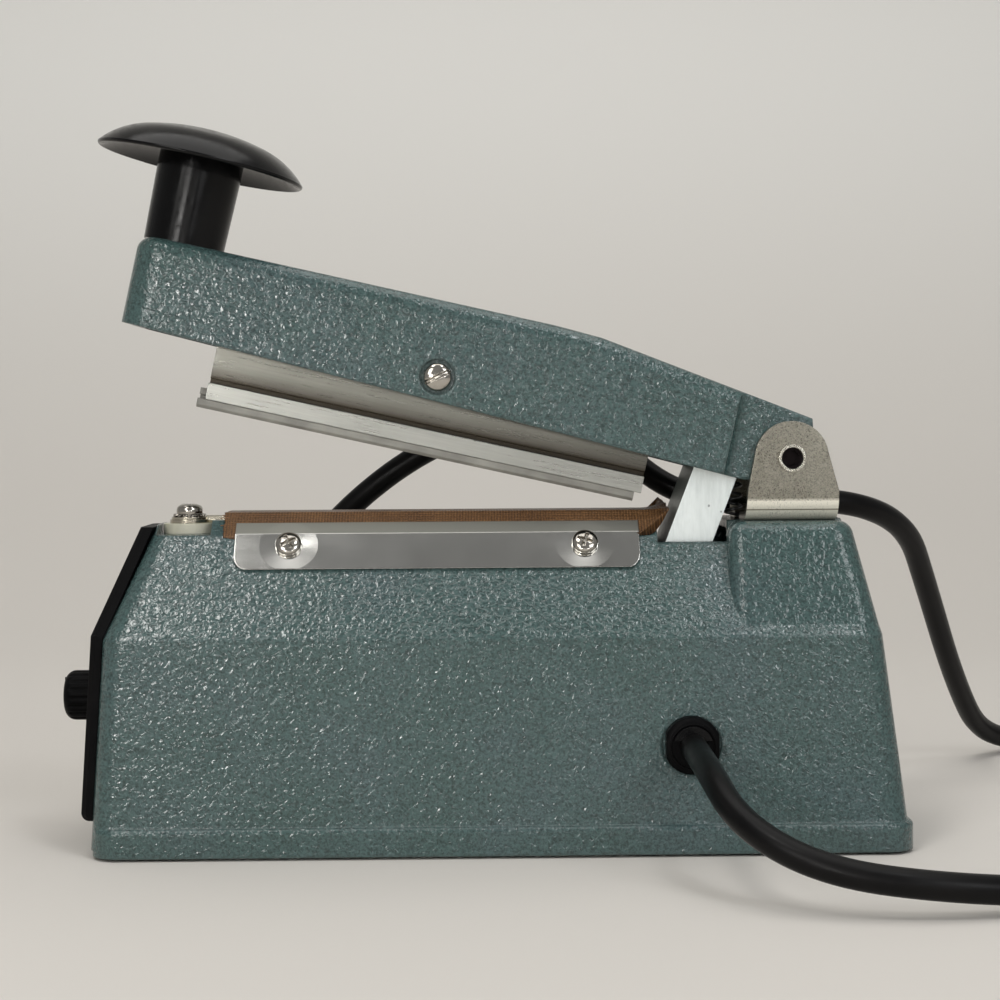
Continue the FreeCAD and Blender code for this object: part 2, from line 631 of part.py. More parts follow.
board_parts = [
    box(board_x0 + 1.6, board_x0 + 17.0, -20.5, -5.5, 18.0, 37.0),
    cyl(board_x0 + 1.6, 4.0, 27.0, 5.0, 14.0, (1, 0, 0)),
    cyl(board_x0 + 1.6, 16.0, 25.0, 4.0, 11.0, (1, 0, 0)),
    box(board_x0 + 1.6, board_x0 + 8.0, 2.0, 14.0, 40.0, 50.0),
    box(board_x0 + 1.6, board_x0 + 5.0, -20.0, -6.0, 42.0, 51.0),
]
export("board_parts", Part.makeCompound(board_parts))
lamp_start = lamp_face - LAMP_DIR * 12.0
lamp = Part.makeCylinder(3.9, 12.0 + PANEL_T + 0.35, lamp_start, LAMP_DIR)
lamp = lamp.makeFillet(0.6, [e for e in lamp.Edges if e.BoundBox.XMax < lamp_face.x - PANEL_T * 0.6])
export("lamp", lamp)

# Microswitch under the lever
SWITCH_X0 = 37.0
SWITCH_TOP = 62.4
PLUNGER_X = 56.5
PLUNGER_TOP = 64.4
switch = box(SWITCH_X0, SWITCH_X0 + 27.8, -5.1, 5.1, SWITCH_TOP - 15.9, SWITCH_TOP)
switch = switch.cut(box(PLUNGER_X - 1.5, PLUNGER_X + 1.5, -1.6, 1.6, SWITCH_TOP - 4.0, SWITCH_TOP + 1))
SWITCH_SCREWS = [(SWITCH_X0 + 3.0, SWITCH_TOP - 12.9), (SWITCH_X0 + 25.2, SWITCH_TOP - 12.9)]
for x, z in SWITCH_SCREWS:
    switch = switch.cut(cyl(x, -6, z, 1.6, 12, (0, 1, 0)))
tabs = []
for tab_x in (1.5, 12.5, 25.0):
    x = SWITCH_X0 + tab_x
    tabs.append(box(x, x + 0.8, -3.1, 3.1, SWITCH_TOP - 22.0, SWITCH_TOP - 15.9))
switch = fused([switch] + tabs)
export("microswitch", switch)
plunger = box(PLUNGER_X - 1.2, PLUNGER_X + 1.2, -1.3, 1.3, SWITCH_TOP - 2.6, PLUNGER_TOP)
plunger = plunger.makeFillet(0.5, edges_where(
    plunger, lambda a, b: min(a.z, b.z) > PLUNGER_TOP - 0.1 and abs(a.y - b.y) > 1))
export("switch_plunger", plunger)
plate_y = 5.1
switch_plate = slab_y([
    (27.5, 80.6), (27.5, 44.0), (64.8, 44.0),
    (64.8, SWITCH_TOP - 1.5), (37.0, SWITCH_TOP - 1.5), (37.0, 80.6),
], plate_y, plate_y + 1.2)
shelf = box(27.5, 36.5, plate_y, 12.4, 79.4, 80.6)
switch_plate = fused([switch_plate, shelf])
for x, z in SWITCH_SCREWS:
    switch_plate = switch_plate.cut(cyl(x, 0, z, 1.6, 12, (0, 1, 0)))
switch_plate = switch_plate.cut(cyl(SWITCH_BOSS_X, 9.2, 78.0, 1.5, 5.0))
export("switch_plate", switch_plate)
switch_screws = []
for x, z in SWITCH_SCREWS:
    switch_screws.append(plain_screw(x, -5.1, z, (0, -1, 0), 1.5, 13.0, 2.7, 1.4))
switch_screws.append(plain_screw(SWITCH_BOSS_X, 9.2, 79.4, (0, 0, -1), 1.2, 5.0, 2.7, 1.4))
export("switch_screws", Part.makeCompound(switch_screws))

# Hinge bracket
channel = box(-20, 20, -BRACKET_HALF, BRACKET_HALF, BLOCK_Z - PIN_Z, EAR_R + 1)
channel = channel.makeFillet(BRACKET_BEND, edges_where(
    channel, lambda a, b: abs(a.x - b.x) > 20 and max(a.z, b.z) < 0))
inside_half = BRACKET_HALF - BRACKET_T
inside = box(-20, 20, -inside_half, inside_half, BLOCK_Z - PIN_Z + BRACKET_T, EAR_R + 2)
inside = inside.makeFillet(BRACKET_BEND - BRACKET_T, edges_where(inside, lambda a, b: abs(a.x - b.x) > 20 and max(a.z, b.z) < 0))
side_view = along_y([
    (-EAR_BASE_HALF, BLOCK_Z - PIN_Z - 1), (EAR_BASE_HALF, BLOCK_Z - PIN_Z - 1), (EAR_BASE_HALF + 0.3, -9.0),
    (EAR_R * 0.985, 1.7), (-EAR_R * 0.985, 1.7), (-EAR_BASE_HALF + 0.6, -9.0),
], BRACKET_HALF + 1)
side_view = side_view.fuse(cyl(0, -BRACKET_HALF - 1, 0, EAR_R, 2 * BRACKET_HALF + 2, (0, 1, 0)))
bracket = channel.cut(inside).common(side_view).removeSplitter()
bracket.translate(Vector(PIN_X, 0, PIN_Z))
bracket = bracket.cut(cyl(PIN_X, -30, PIN_Z, PIN_R + 0.02, 60, (0, 1, 0)))
bracket = bracket.cut(cyl(PIN_X - EAR_BASE_HALF - 1.0, 0, BLOCK_Z - 1, 4.9, 5))
for x, y in BRACKET_SCREWS:
    bracket = bracket.cut(cyl(x, y, BLOCK_Z - 1, 2.1, 5))
export("hinge_bracket", bracket)
bracket_screws = []
for x, y in BRACKET_SCREWS:
    bracket_screws.append(plain_screw(x, y, BLOCK_Z + BRACKET_T, (0, 0, 1), 1.95, 8.0, 3.4, 2.2))
export("bracket_screws", Part.makeCompound(bracket_screws))

# Hinge pin with a hexagon socket, and the ring that keeps it
pin = cyl(PIN_X, -BRACKET_HALF - 1.2, PIN_Z, PIN_R, 2 * BRACKET_HALF + 4.2, (0, 1, 0))
pin = pin.fuse(cyl(PIN_X, -BRACKET_HALF - 1.2, PIN_Z, PIN_HEAD_R, 1.2, (0, 1, 0)))
socket_points = []
for i in range(6):
    a = math.radians(60 * i + 12)
    socket_points.append((PIN_X + SOCKET_R * math.cos(a), PIN_Z + SOCKET_R * math.sin(a)))
pin = pin.cut(slab_y(socket_points, -BRACKET_HALF - 2, -BRACKET_HALF + 2.6))
pin = pin.cut(cyl(PIN_X, -BRACKET_HALF - 2, PIN_Z, SOCKET_RIM_R, 2.4, (0, 1, 0)))
export("hinge_pin", pin)
ring = cyl(PIN_X, BRACKET_HALF, PIN_Z, 5.0, 1.2, (0, 1, 0))
ring = ring.cut(cyl(PIN_X, BRACKET_HALF - 1, PIN_Z, PIN_R, 5, (0, 1, 0)))
export("pin_ring", ring)

# Arm casting, drawn level
tail_low = []
for i in range(9):
    a = math.radians(-110 + i * 160 / 8)
    tail_low.append((TAIL_R * math.cos(a), TAIL_R * math.sin(a)))
arm_outline = [(ARM_U0, ARM_BOTTOM_FRONT), (-12.0, ARM_BOTTOM_TAIL)] + tail_low
arm_outline = arm_outline + [
    (ARM_TAIL_U, ARM_TAIL_W), (ARM_KINK_U, ARM_KINK_W), (ARM_BEND_U, ARM_TOP - ARM_BEND_DROP),
    (ARM_FLAT_U, ARM_TOP), (ARM_U0, ARM_TOP),
]


def upright_at(u):
    return lambda a, b: abs(a.x - u) < 0.1 and abs(b.x - u) < 0.1 and abs(a.z - b.z) > 5


arm = along_y(arm_outline, ARM_HALF)
arm = arm.makeFillet(ARM_CORNER_R, edges_where(arm, upright_at(ARM_U0)))
top_edges = []
for edge in arm.Edges:
    reach = edge.BoundBox
    across = abs(reach.YMax + reach.YMin) < 1 and reach.YMax > ARM_HALF - 0.5
    if reach.ZMin > ARM_TAIL_W - 0.3 and reach.XMax < ARM_TAIL_U + 0.2 and not across:
        top_edges.append(edge)
arm = arm.makeFillet(ARM_EDGE_R, top_edges)
tail_half = BRACKET_HALF - BRACKET_T - SIDE_GAP
NECK_U = -14.5
for side in (-1, 1):
    y0, y1 = sorted((side * tail_half, side * (ARM_HALF + 3)))
    arm = arm.cut(box(NECK_U, 20, y0, y1, -20, 40))
    arm = arm.cut(cyl(NECK_U, side * (tail_half + 2.6), -20, 2.6, 60))
HOLLOW_END_U = -20.5
tail_slope = (ARM_KINK_W - ARM_TAIL_W) / (ARM_TAIL_U - ARM_KINK_U)
roof_line = [
    (ARM_U0 + ARM_WALL, -30), (HOLLOW_END_U, -30),
    (HOLLOW_END_U, ARM_TAIL_W - ARM_ROOF + (ARM_TAIL_U - HOLLOW_END_U) * tail_slope),
    (ARM_KINK_U, ARM_KINK_W - ARM_ROOF), (ARM_BEND_U, ARM_TOP - ARM_BEND_DROP - ARM_ROOF),
    (ARM_U0 + ARM_WALL, ARM_TOP - ARM_ROOF),
]
arm_hollow = along_y(roof_line, ARM_HALF - ARM_WALL)
hollow_corners = edges_where(arm_hollow, upright_at(ARM_U0 + ARM_WALL))
arm_hollow = arm_hollow.makeFillet(ARM_CORNER_R - ARM_WALL, hollow_corners)
tail_hollow = along_y([(-21.0, -30), (-8.6, -30), (-8.6, 10.4), (-21.0, 12.2)], LEVER_HALF + 0.5)
arm = cut(arm, [arm_hollow, tail_hollow])
knob_boss = cyl(KNOB_U, 0, 9.0, 5.0, ARM_TOP - 9.0 - 1.0)
boss_length = ARM_HALF - 1.0 - BAR_WEB_HALF - 0.5
boss_near = cyl(BAR_PIVOT_U, -ARM_HALF + 1.0, BAR_PIVOT_W, 6.2, boss_length, (0, 1, 0))
boss_far = boss_near.mirror(Vector(0, 0, 0), Vector(0, 1, 0))
PAD_W = 11.8
lever_pads = [box(-34.0, -24.0, y - 4.0, y + 4.0, PAD_W, 15.6) for y in (-7.5, 7.5)]
arm = fused([arm, knob_boss, boss_near, boss_far] + lever_pads)
arm = arm.cut(cyl(KNOB_U, 0, 0, 2.2, 40))
arm = arm.cut(cyl(BAR_PIVOT_U, -40, BAR_PIVOT_W, CROSS_SCREW_R + 0.02, 80, (0, 1, 0)))
RECESS_R = 4.85
RECESS_DEPTH = 1.6
arm = arm.cut(cyl(BAR_PIVOT_U, -ARM_HALF - 2, BAR_PIVOT_W, RECESS_R, RECESS_DEPTH + 2, (0, 1, 0)))
arm = arm.cut(cyl(BAR_PIVOT_U, ARM_HALF - RECESS_DEPTH, BAR_PIVOT_W, RECESS_R, RECESS_DEPTH + 2, (0, 1, 0)))
arm = arm.cut(cyl(0, -40, 0, PIN_R + PIN_FIT, 80, (0, 1, 0)))
for y in (-7.5, 7.5):
    arm = arm.cut(cyl(-29.0, y, PAD_W - 1, 1.3, 4.0))
arm = arm.removeSplitter()
export("arm_casting", opened(arm))

# Palm knob: stem and hollow cap in one moulding
stem_low = ARM_TOP
stem = Part.makeCone(STEM_R_LOW, STEM_R_TOP, STEM_LENGTH, Vector(KNOB_U, 0, stem_low), Vector(0, 0, 1))
rim_w = stem_low + STEM_LENGTH + 2.9
apex = Vector(0, 0, rim_w + CAP_CROWN)
shoulder = Vector(18.0, 0, rim_w + CAP_CROWN - 2.5)
rim_out = Vector(CAP_R, 0, rim_w - 0.2)
rim_low = Vector(CAP_R - 0.9, 0, rim_w - 1.1)
hollow_edge = Vector(15.0, 0, rim_w + 3.0)
hollow_top = Vector(0, 0, rim_w + 3.4)
cap_lines = [
    Part.Arc(apex, Vector(10.0, 0, rim_w + CAP_CROWN - 0.76), shoulder),
    Part.Arc(shoulder, Vector(24.0, 0, rim_w + CAP_CROWN - 5.4), rim_out),
    Part.Arc(rim_out, Vector(CAP_R - 0.1, 0, rim_w - 0.9), rim_low),
    Part.Arc(rim_low, Vector(22.0, 0, rim_w + 1.5), hollow_edge),
    Part.Arc(hollow_edge, Vector(8.0, 0, rim_w + 3.29), hollow_top),
    Part.LineSegment(hollow_top, apex),
]
cap = Part.Face(Part.Wire([line.toShape() for line in cap_lines]))
cap = cap.revolve(Vector(0, 0, 0), Vector(0, 0, 1), 360)
cap.translate(Vector(KNOB_U, 0, 0))
stem = stem.fuse(cyl(KNOB_U, 0, stem_low + STEM_LENGTH, STEM_R_TOP, 6.6))
palm = fused([stem, cap])
palm = palm.cut(cyl(KNOB_U, 0, stem_low - 1, 2.1, 13))
export("palm_knob", opened(palm))
knob_screw = plain_screw(KNOB_U, 0, 9.0, (0, 0, -1), 2.1, 22.0, 4.2, 2.6)
export("knob_screw", opened(knob_screw))

# Press bar
bar_u0 = BAR_PIVOT_U - BAR_LENGTH / 2
bar_u1 = BAR_PIVOT_U + BAR_LENGTH / 2
RUBBER_T = 2.0
bar_section = mirrored([
    (RUBBER_NECK_HALF, BAR_HEAD_BOTTOM), (BAR_HEAD_HALF, BAR_HEAD_BOTTOM), (BAR_HEAD_HALF, BAR_HEAD_TOP),
    (BAR_NECK_HALF, BAR_HEAD_TOP), (BAR_NECK_HALF, BAR_NECK_TOP), (BAR_WEB_HALF, BAR_NECK_TOP),
    (BAR_WEB_HALF, BAR_WEB_TOP),
])
bar = along_x(bar_section, bar_u0, bar_u1)
keyway = box(
    bar_u0 - 1, bar_u1 + 1, -RUBBER_LIP_HALF, RUBBER_LIP_HALF, BAR_HEAD_BOTTOM + 1.0, BAR_HEAD_BOTTOM + 3.0)
mouth_slot = box(
    bar_u0 - 1, bar_u1 + 1, -RUBBER_NECK_HALF, RUBBER_NECK_HALF, BAR_HEAD_BOTTOM - 1.0, BAR_HEAD_BOTTOM + 1.5)
bar = cut(bar, [keyway, mouth_slot])
bar = bar.cut(cyl(BAR_PIVOT_U, -20, BAR_PIVOT_W, CROSS_SCREW_R + CROSS_FIT, 40, (0, 1, 0)))
export("press_bar", opened(bar))
rubber_section = mirrored([
    (BAR_HEAD_HALF - 1.2, BAR_HEAD_BOTTOM - RUBBER_PROUD),
    (BAR_HEAD_HALF - 0.4, BAR_HEAD_BOTTOM - RUBBER_PROUD + 0.8),
    (BAR_HEAD_HALF - 0.4, BAR_HEAD_BOTTOM - 0.05), (RUBBER_NECK_HALF - 0.05, BAR_HEAD_BOTTOM - 0.05),
    (RUBBER_NECK_HALF - 0.05, BAR_HEAD_BOTTOM + 1.05), (RUBBER_LIP_HALF - 0.1, BAR_HEAD_BOTTOM + 1.05),
    (RUBBER_LIP_HALF - 0.1, BAR_HEAD_BOTTOM + 2.9),
])
rubber = along_x(rubber_section, bar_u0 - RUBBER_SLIP, bar_u1 - 1.8)
export("press_rubber", opened(rubber))

# Cross screw of the press bar and its nut
cross_length = 2 * (ARM_HALF - RECESS_DEPTH) + 3.0
cross = pan_screw(
    BAR_PIVOT_U, -ARM_HALF + RECESS_DEPTH, BAR_PIVOT_W, (0, -1, 0),
    CROSS_SCREW_R, cross_length, 3.75, 2.6, 65.0)
export("cross_screw", opened(cross))
cross_nut_points = []
for i in range(6):
    a = math.radians(60 * i)
    cross_nut_points.append((BAR_PIVOT_U + 4.0 * math.cos(a), BAR_PIVOT_W + 4.0 * math.sin(a)))
cross_nut = slab_y(cross_nut_points, ARM_HALF - RECESS_DEPTH, ARM_HALF - RECESS_DEPTH + 2.8)
cross_nut = cross_nut.cut(cyl(BAR_PIVOT_U, 0, BAR_PIVOT_W, CROSS_SCREW_R, 40, (0, 1, 0)))
export("cross_nut", opened(cross_nut))

# Lever, drawn upright from its upper left corner, leaned and put into the arm
lever = box(0, LEVER_T, -LEVER_HALF, LEVER_HALF, -LEVER_DOWN, LEVER_UP)
for side in (-1, 1):
    y0, y1 = sorted((side * (LEVER_HALF - LEVER_T), side * LEVER_HALF))
    cheek = [(0, -LEVER_DOWN), (LEVER_DEPTH, -LEVER_DOWN), (LEVER_DEPTH, 9.0), (5.0, 15.5), (0, 15.5)]
    lever = lever.fuse(slab_y(cheek, y0, y1))
lever = lever.fuse(box(0, LEVER_DEPTH, -LEVER_HALF, LEVER_HALF, -LEVER_DOWN, -LEVER_DOWN + LEVER_T))
lever = lever.removeSplitter()
lever.rotate(Vector(0, 0, 0), Vector(0, 1, 0), LEVER_LEAN)
lever.translate(Vector(LEVER_U, 0, LEVER_W))
lever = lever.cut(box(-60, 40, -20, 20, PAD_W, 60))
tab = box(-34.5, -20.6, -12.0, 12.0, PAD_W - LEVER_T, PAD_W)
lever = lever.fuse(tab).removeSplitter()
for y in (-7.5, 7.5):
    lever = lever.cut(cyl(-29.0, y, PAD_W - 4, 1.8, 8))
export("lever", opened(lever))
lever_screws = [plain_screw(-29.0, y, PAD_W - LEVER_T, (0, 0, -1), 1.3, 4.0, 3.0, 1.8) for y in (-7.5, 7.5)]
export("lever_screws", opened(Part.makeCompound(lever_screws)))

# Return spring between the block and the arm
SPRING_X = 65.0
SPRING_R = 2.2
SPRING_WIRE = 0.45
spring_z0 = BLOCK_Z
SPRING_TOP = 117.4
turns = 10
spring_height = SPRING_TOP - spring_z0 - 2 * SPRING_WIRE
helix = Part.makeHelix(spring_height / turns, spring_height, SPRING_R)
start = Part.Circle(Vector(SPRING_R, 0, 0), Vector(0, 1, 0), SPRING_WIRE).toShape()
spring = Part.Wire(helix).makePipeShell([Part.Wire([start])], True, True)
spring.translate(Vector(SPRING_X, 0, spring_z0 + SPRING_WIRE + 0.02))
export("return_spring", spring)

# Sealing deck
plate_outer = face_of([(0, y, z) for y, z in ridge_section(0)])
plate_grown = plate_outer.makeOffset2D(PLATE_T)
grown = plate_grown.extrude(Vector(PLATE_X1 - PLATE_X0, 0, 0))
grown.translate(Vector(PLATE_X0, 0, 0))
under_plate = along_x(ridge_section(0), PLATE_X0 - 1, PLATE_X1 + 1)
skin = grown.cut(under_plate)
PLATE_SCREWS = [PLATE_X0 + 14.6, PLATE_X1 - 14.8]
plate_mid_z = 81.0
plate_mid_y = SHOULDER_HALF + (DECK_Z - SHOULDER_DROP - plate_mid_z) / FLANK_SLOPE
flank_angle = math.atan(FLANK_SLOPE)
for side, name in ((-1, "guard_plate_near"), (1, "guard_plate_far")):
    y0, y1 = sorted((side * 2.0, side * 40.0))
    blank = box(PLATE_X0, PLATE_X1, y0, y1, PLATE_LOW_Z, PLATE_TOP_Z)
    blank = blank.makeFillet(PLATE_CORNER_R, edges_where(
        blank, lambda a, b: abs(a.y - b.y) > 10 and max(a.z, b.z) < PLATE_LOW_Z + 0.1))
    plate = skin.common(blank)
    out = Vector(0, side * math.sin(flank_angle), math.cos(flank_angle))
    for x in PLATE_SCREWS:
        centre = Vector(x, side * plate_mid_y, plate_mid_z)
        plate = plate.cut(Part.makeCylinder(2.1, 8.0, centre - out * 4.0, out))
        body = body.cut(Part.makeCylinder(1.6, 8.0, centre - out * 6.0, out))
    export(name, plate)
plate_screws = []
for side in (-1, 1):
    out = (0, side * math.sin(flank_angle), math.cos(flank_angle))
    for x in PLATE_SCREWS:
        seat = Vector(x, side * plate_mid_y, plate_mid_z) + Vector(*out) * (PLATE_T + 0.01)
        plate_screws.append(pan_screw(seat.x, seat.y, seat.z, out, 1.55, 6.0, 3.5, 2.1))
export("plate_screws", Part.makeCompound(plate_screws))
export("base_casting", body)

strip = box(CLOTH_X0 + 2.0, CLOTH_X1 - 8.0, -STRIP_HALF, STRIP_HALF, DECK_Z, DECK_Z + STRIP_T)
export("insulating_strip", strip)

# Heating element: band from the lug's barrel over the strip, tail down the slit
band_z = DECK_Z + STRIP_T
BUSH_TOP = TERMINAL_SEAT_Z + BUSH_T
START_Z = BARREL_Z - ELEMENT_T / 2
element = slab_y([
    (BARREL_END_X, START_Z), (CLOTH_X0 + 2.0, band_z), (REAR_X, band_z),
    (REAR_X, 78.5), (REAR_X + ELEMENT_T, 78.5), (REAR_X + ELEMENT_T, band_z + ELEMENT_T),
    (CLOTH_X0 + 2.0, band_z + ELEMENT_T), (BARREL_END_X, START_Z + ELEMENT_T),
], -ELEMENT_HALF, ELEMENT_HALF)
element = element.cut(cyl(REAR_X - 1, 0, 81.0, 1.25, 3, (1, 0, 0)))
export("heating_element", element)

# Release cloth over strip and element, its skirts tucked to the guard plates
cloth_top = band_z + ELEMENT_T + 0.03 + CLOTH_T
cloth_section = [
    (9.75, DECK_Z + 0.05), (10.15, DECK_Z + 0.05), (7.75, cloth_top), (-7.75, cloth_top),
    (-10.15, DECK_Z + 0.05), (-9.75, DECK_Z + 0.05), (-7.6, cloth_top - CLOTH_T), (7.6, cloth_top - CLOTH_T),
]
cloth = along_x(cloth_section, CLOTH_X0, CLOTH_X1)
export("release_cloth", cloth)

# Front terminal: insulating bush, the element's lug, washers, screw and nut below
def with_screw_hole(shape):
    return shape.cut(cyl(TERMINAL_X, 0, DECK_Z - 18.0, TERMINAL_SCREW_R + 0.1, 30))


bush = cyl(TERMINAL_X, 0, TERMINAL_SEAT_Z, BUSH_R, BUSH_T)
bush = bush.fuse(cyl(TERMINAL_X, 0, DECK_Z - 9.0, 3.5, 9.0 + BUSH_TOP - DECK_Z))
under_washer = with_screw_hole(cyl(TERMINAL_X, 0, DECK_Z - 10.2, 6.5, 1.2))
export("terminal_bush", Part.makeCompound([with_screw_hole(bush).removeSplitter(), under_washer]))
barrel_start_x = TERMINAL_X + LUG_R - 0.8
lug = cyl(TERMINAL_X, 0, BUSH_TOP, LUG_R, LUG_T)
lug = lug.fuse(cyl(barrel_start_x, 0, BARREL_Z, BARREL_R, BARREL_END_X - barrel_start_x, (1, 0, 0)))
lug = lug.cut(box(TERMINAL_X - 6, BARREL_END_X, -3, 3, BUSH_TOP - 3, BUSH_TOP).common(
    cyl(TERMINAL_X, 0, BUSH_TOP - 3, BUSH_R + 0.2, 3)))
export("element_lug", with_screw_hole(lug).removeSplitter())
washer_z = BUSH_TOP + LUG_T
COLLAR_TOP = washer_z + 2 * WASHER_T
washer = cyl(TERMINAL_X, 0, washer_z, WASHER_R, WASHER_T)
washer = washer.makeFillet(0.3, [e for e in washer.Edges if e.BoundBox.ZMin > washer_z + WASHER_T - 0.1])
spring_washer = cyl(TERMINAL_X, 0, washer_z + WASHER_T, SPRING_WASHER_R, WASHER_T)
barrel_side = cyl(barrel_start_x - 1, 0, BARREL_Z, BARREL_R + 0.05, 10, (1, 0, 0))
washer = with_screw_hole(washer).cut(barrel_side)
export("terminal_collar", Part.makeCompound([washer, with_screw_hole(spring_washer)]))
terminal_screw = pan_screw(TERMINAL_X, 0, COLLAR_TOP, (0, 0, 1), TERMINAL_SCREW_R, 18.0, 3.5, 2.8, 70.0)
export("terminal_screw", terminal_screw)
nut_points = []
for i in range(6):
    a = math.radians(60 * i)
    nut_points.append(Vector(TERMINAL_X + 4.0 * math.cos(a), 4.0 * math.sin(a), DECK_Z - 13.2))
terminal_nut = Part.Face(Part.makePolygon(nut_points + [nut_points[0]])).extrude(Vector(0, 0, 3.0))
export("terminal_nut", terminal_nut.cut(cyl(TERMINAL_X, 0, 70, TERMINAL_SCREW_R, 30)))

# Rear terminal under the deck
DECK_UNDER = DECK_Z - WALL
rear_block = box(19.5, REAR_X, -4.4, 4.4, 77.0, DECK_UNDER)
rear_block = rear_block.cut(cyl(REAR_SCREW_X, 0, 76, 1.2, 12))
rear_block = rear_block.cut(cyl(REAR_X - 7, 0, 81.0, 1.2, 10, (1, 0, 0)))
export("rear_block", rear_block)
sunk = Part.makeCone(1.5, 3.1, 1.6, Vector(REAR_SCREW_X, 0, DECK_Z - 1.62))
sunk = sunk.fuse(cyl(REAR_SCREW_X, 0, DECK_UNDER - 5.5, 1.2, 8.0))
sunk = sunk.cut(box(REAR_SCREW_X - 2.4, REAR_SCREW_X + 2.4, -0.4, 0.4, DECK_Z - 0.8, DECK_Z + 1))
rear_screw = plain_screw(REAR_X + ELEMENT_T, 0, 81.0, (1, 0, 0), 1.2, 5.5, 2.7, 1.5)
export("rear_screws", Part.makeCompound([sunk, rear_screw]))

# Strain relief and cord
gland_out = GLAND_SEAT_Y - GLAND_HEAD_T
gland = cyl(GLAND_X, GLAND_SEAT_Y, GLAND_Z, GLAND_HEAD_R, GLAND_HEAD_T, (0, -1, 0))
gland = gland.makeFillet(1.6, [e for e in gland.Edges if e.BoundBox.YMax < gland_out + 0.1])
flats = box(GLAND_X - GLAND_FLAT, GLAND_X + GLAND_FLAT, gland_out - 1, 0, GLAND_Z - 10, GLAND_Z + 10)
gland = gland.common(flats)
gland = gland.fuse(cyl(GLAND_X, GLAND_SEAT_Y + 7.5, GLAND_Z, 5.9, 7.5, (0, -1, 0))).removeSplitter()
export("strain_relief", gland)


def cord_tube(points, name):
    pieces = []
    runs = []
    previous = points[0]
    for i in range(1, len(points) - 1):
        a, b, c = points[i - 1], points[i], points[i + 1]
        u = a - b
        v = c - b
        shorter = min(u.Length, v.Length)
        runs.append(round(u.Length, 1))
        half_turn = (math.pi - u.getAngle(v)) / 2
        radius = 0.45 * shorter / math.tan(half_turn)
        u.normalize()
        v.normalize()
        back = 0.45 * shorter
        enter = b + u * back
        leave = b + v * back
        centre = b + (u + v).normalize() * math.hypot(radius, back)
        middle = centre + (b - centre).normalize() * radius
        pieces.append(Part.LineSegment(previous, enter))
        pieces.append(Part.Arc(enter, middle, leave))
        previous = leave
        turn = round(math.degrees(2 * half_turn), 1)
        print(name, i, "run", runs[-1], "turn", turn, "radius", round(radius, 1))
    pieces.append(Part.LineSegment(previous, points[-1]))
    route = Part.Wire([piece.toShape() for piece in pieces])
    direction = (points[1] - points[0]).normalize()
    ring = Part.Wire([Part.Circle(points[0], direction, CORD_R).toShape()])
    tube = route.makePipeShell([ring], True, True)
    expected = math.pi * CORD_R ** 2 * route.Length
    print(name, "length", round(route.Length, 1), "volume ratio", round(tube.Volume / expected, 4))
    return tube, route.Length


FLOOR = CORD_R + 0.05
cord_route = [
    Vector(GLAND_X, gland_out, GLAND_Z), Vector(GLAND_X, -65.5, GLAND_Z), Vector(54.5, -90.0, 19.0),
    Vector(72.0, -103.0, 10.5), Vector(100.0, -107.0, 7.2), Vector(134.0, -99.0, 4.2),
    Vector(167.0, -73.0, FLOOR), Vector(193.0, -38.0, FLOOR), Vector(215.0, -2.0, FLOOR),
    Vector(232.0, 36.0, FLOOR), Vector(240.0, 72.0, FLOOR), Vector(240.0, 104.0, FLOOR),
    Vector(221.5, 128.0, FLOOR), Vector(192.5, 135.0, FLOOR), Vector(166.0, 122.0, 6.0),
    Vector(150.0, 95.0, 29.5), Vector(133.0, 62.0, 64.0), Vector(122.5, 40.0, 83.0),
    Vector(102.0, 24.4, 91.3), Vector(76.0, 22.7, BLOCK_Z + CORD_R + 0.05), Vector(52.0, 23.6, 92.5),
    Vector(33.0, 31.5, 108.0), Vector(6.0, 34.0, 117.0), Vector(-22.0, 36.0, 107.0),
    Vector(-47.0, 41.0, 88.0), Vector(-68.0, 54.0, 62.0), Vector(-80.0, 72.0, 36.0),
    Vector(-84.0, 92.0, 15.0), Vector(-84.0, 106.0, 8.4),
]
cord, cord_length = cord_tube(cord_route, "cord")
export("power_cord", cord)
COIL_X = -48.0
COIL_Y = 112.0
COIL_R = 36.0
loop = cyl(COIL_X, COIL_Y, 0.05, COIL_R + 7.4, 15.6).cut(cyl(COIL_X, COIL_Y, -1, COIL_R - 7.4, 20))
loop = loop.makeFillet(3.2, [e for e in loop.Edges if e.BoundBox.ZLength < 0.01])
export("cord_coil", loop)
PLUG_X = 2.0
PLUG_Y = COIL_Y + COIL_R
PLUG_Z = 9.6
tail = cyl(COIL_X + 20.0, PLUG_Y, PLUG_Z, CORD_R, PLUG_X - COIL_X - 20.0, (1, 0, 0))
plug = box(PLUG_X + 12.0, PLUG_X + 38.0, PLUG_Y - 13.0, PLUG_Y + 13.0, 0.05, 2 * PLUG_Z - 0.05)
plug = plug.makeFillet(3.0, edges_where(plug, lambda a, b: abs(a.x - b.x) > 5))
boot = Part.makeCone(5.2, 8.2, 12.5, Vector(PLUG_X, PLUG_Y, PLUG_Z), Vector(1, 0, 0))
plug = plug.fuse(boot).removeSplitter()
export("plug_body", plug)
export("cord_tail", tail)
plug_face = PLUG_X + 38.0
pins = [
    box(plug_face, plug_face + 15.9, PLUG_Y - 6.35 - 3.15, PLUG_Y - 6.35 + 3.15, PLUG_Z + 2.0, PLUG_Z + 3.5),
    box(plug_face, plug_face + 15.9, PLUG_Y + 6.35 - 3.15, PLUG_Y + 6.35 + 3.15, PLUG_Z + 2.0, PLUG_Z + 3.5),
    cyl(plug_face, PLUG_Y, PLUG_Z - 4.0, 2.4, 18.0, (1, 0, 0)),
]
export("plug_pins", Part.makeCompound(pins))
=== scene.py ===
import math
import random

import bpy
from mathutils import Matrix, Vector


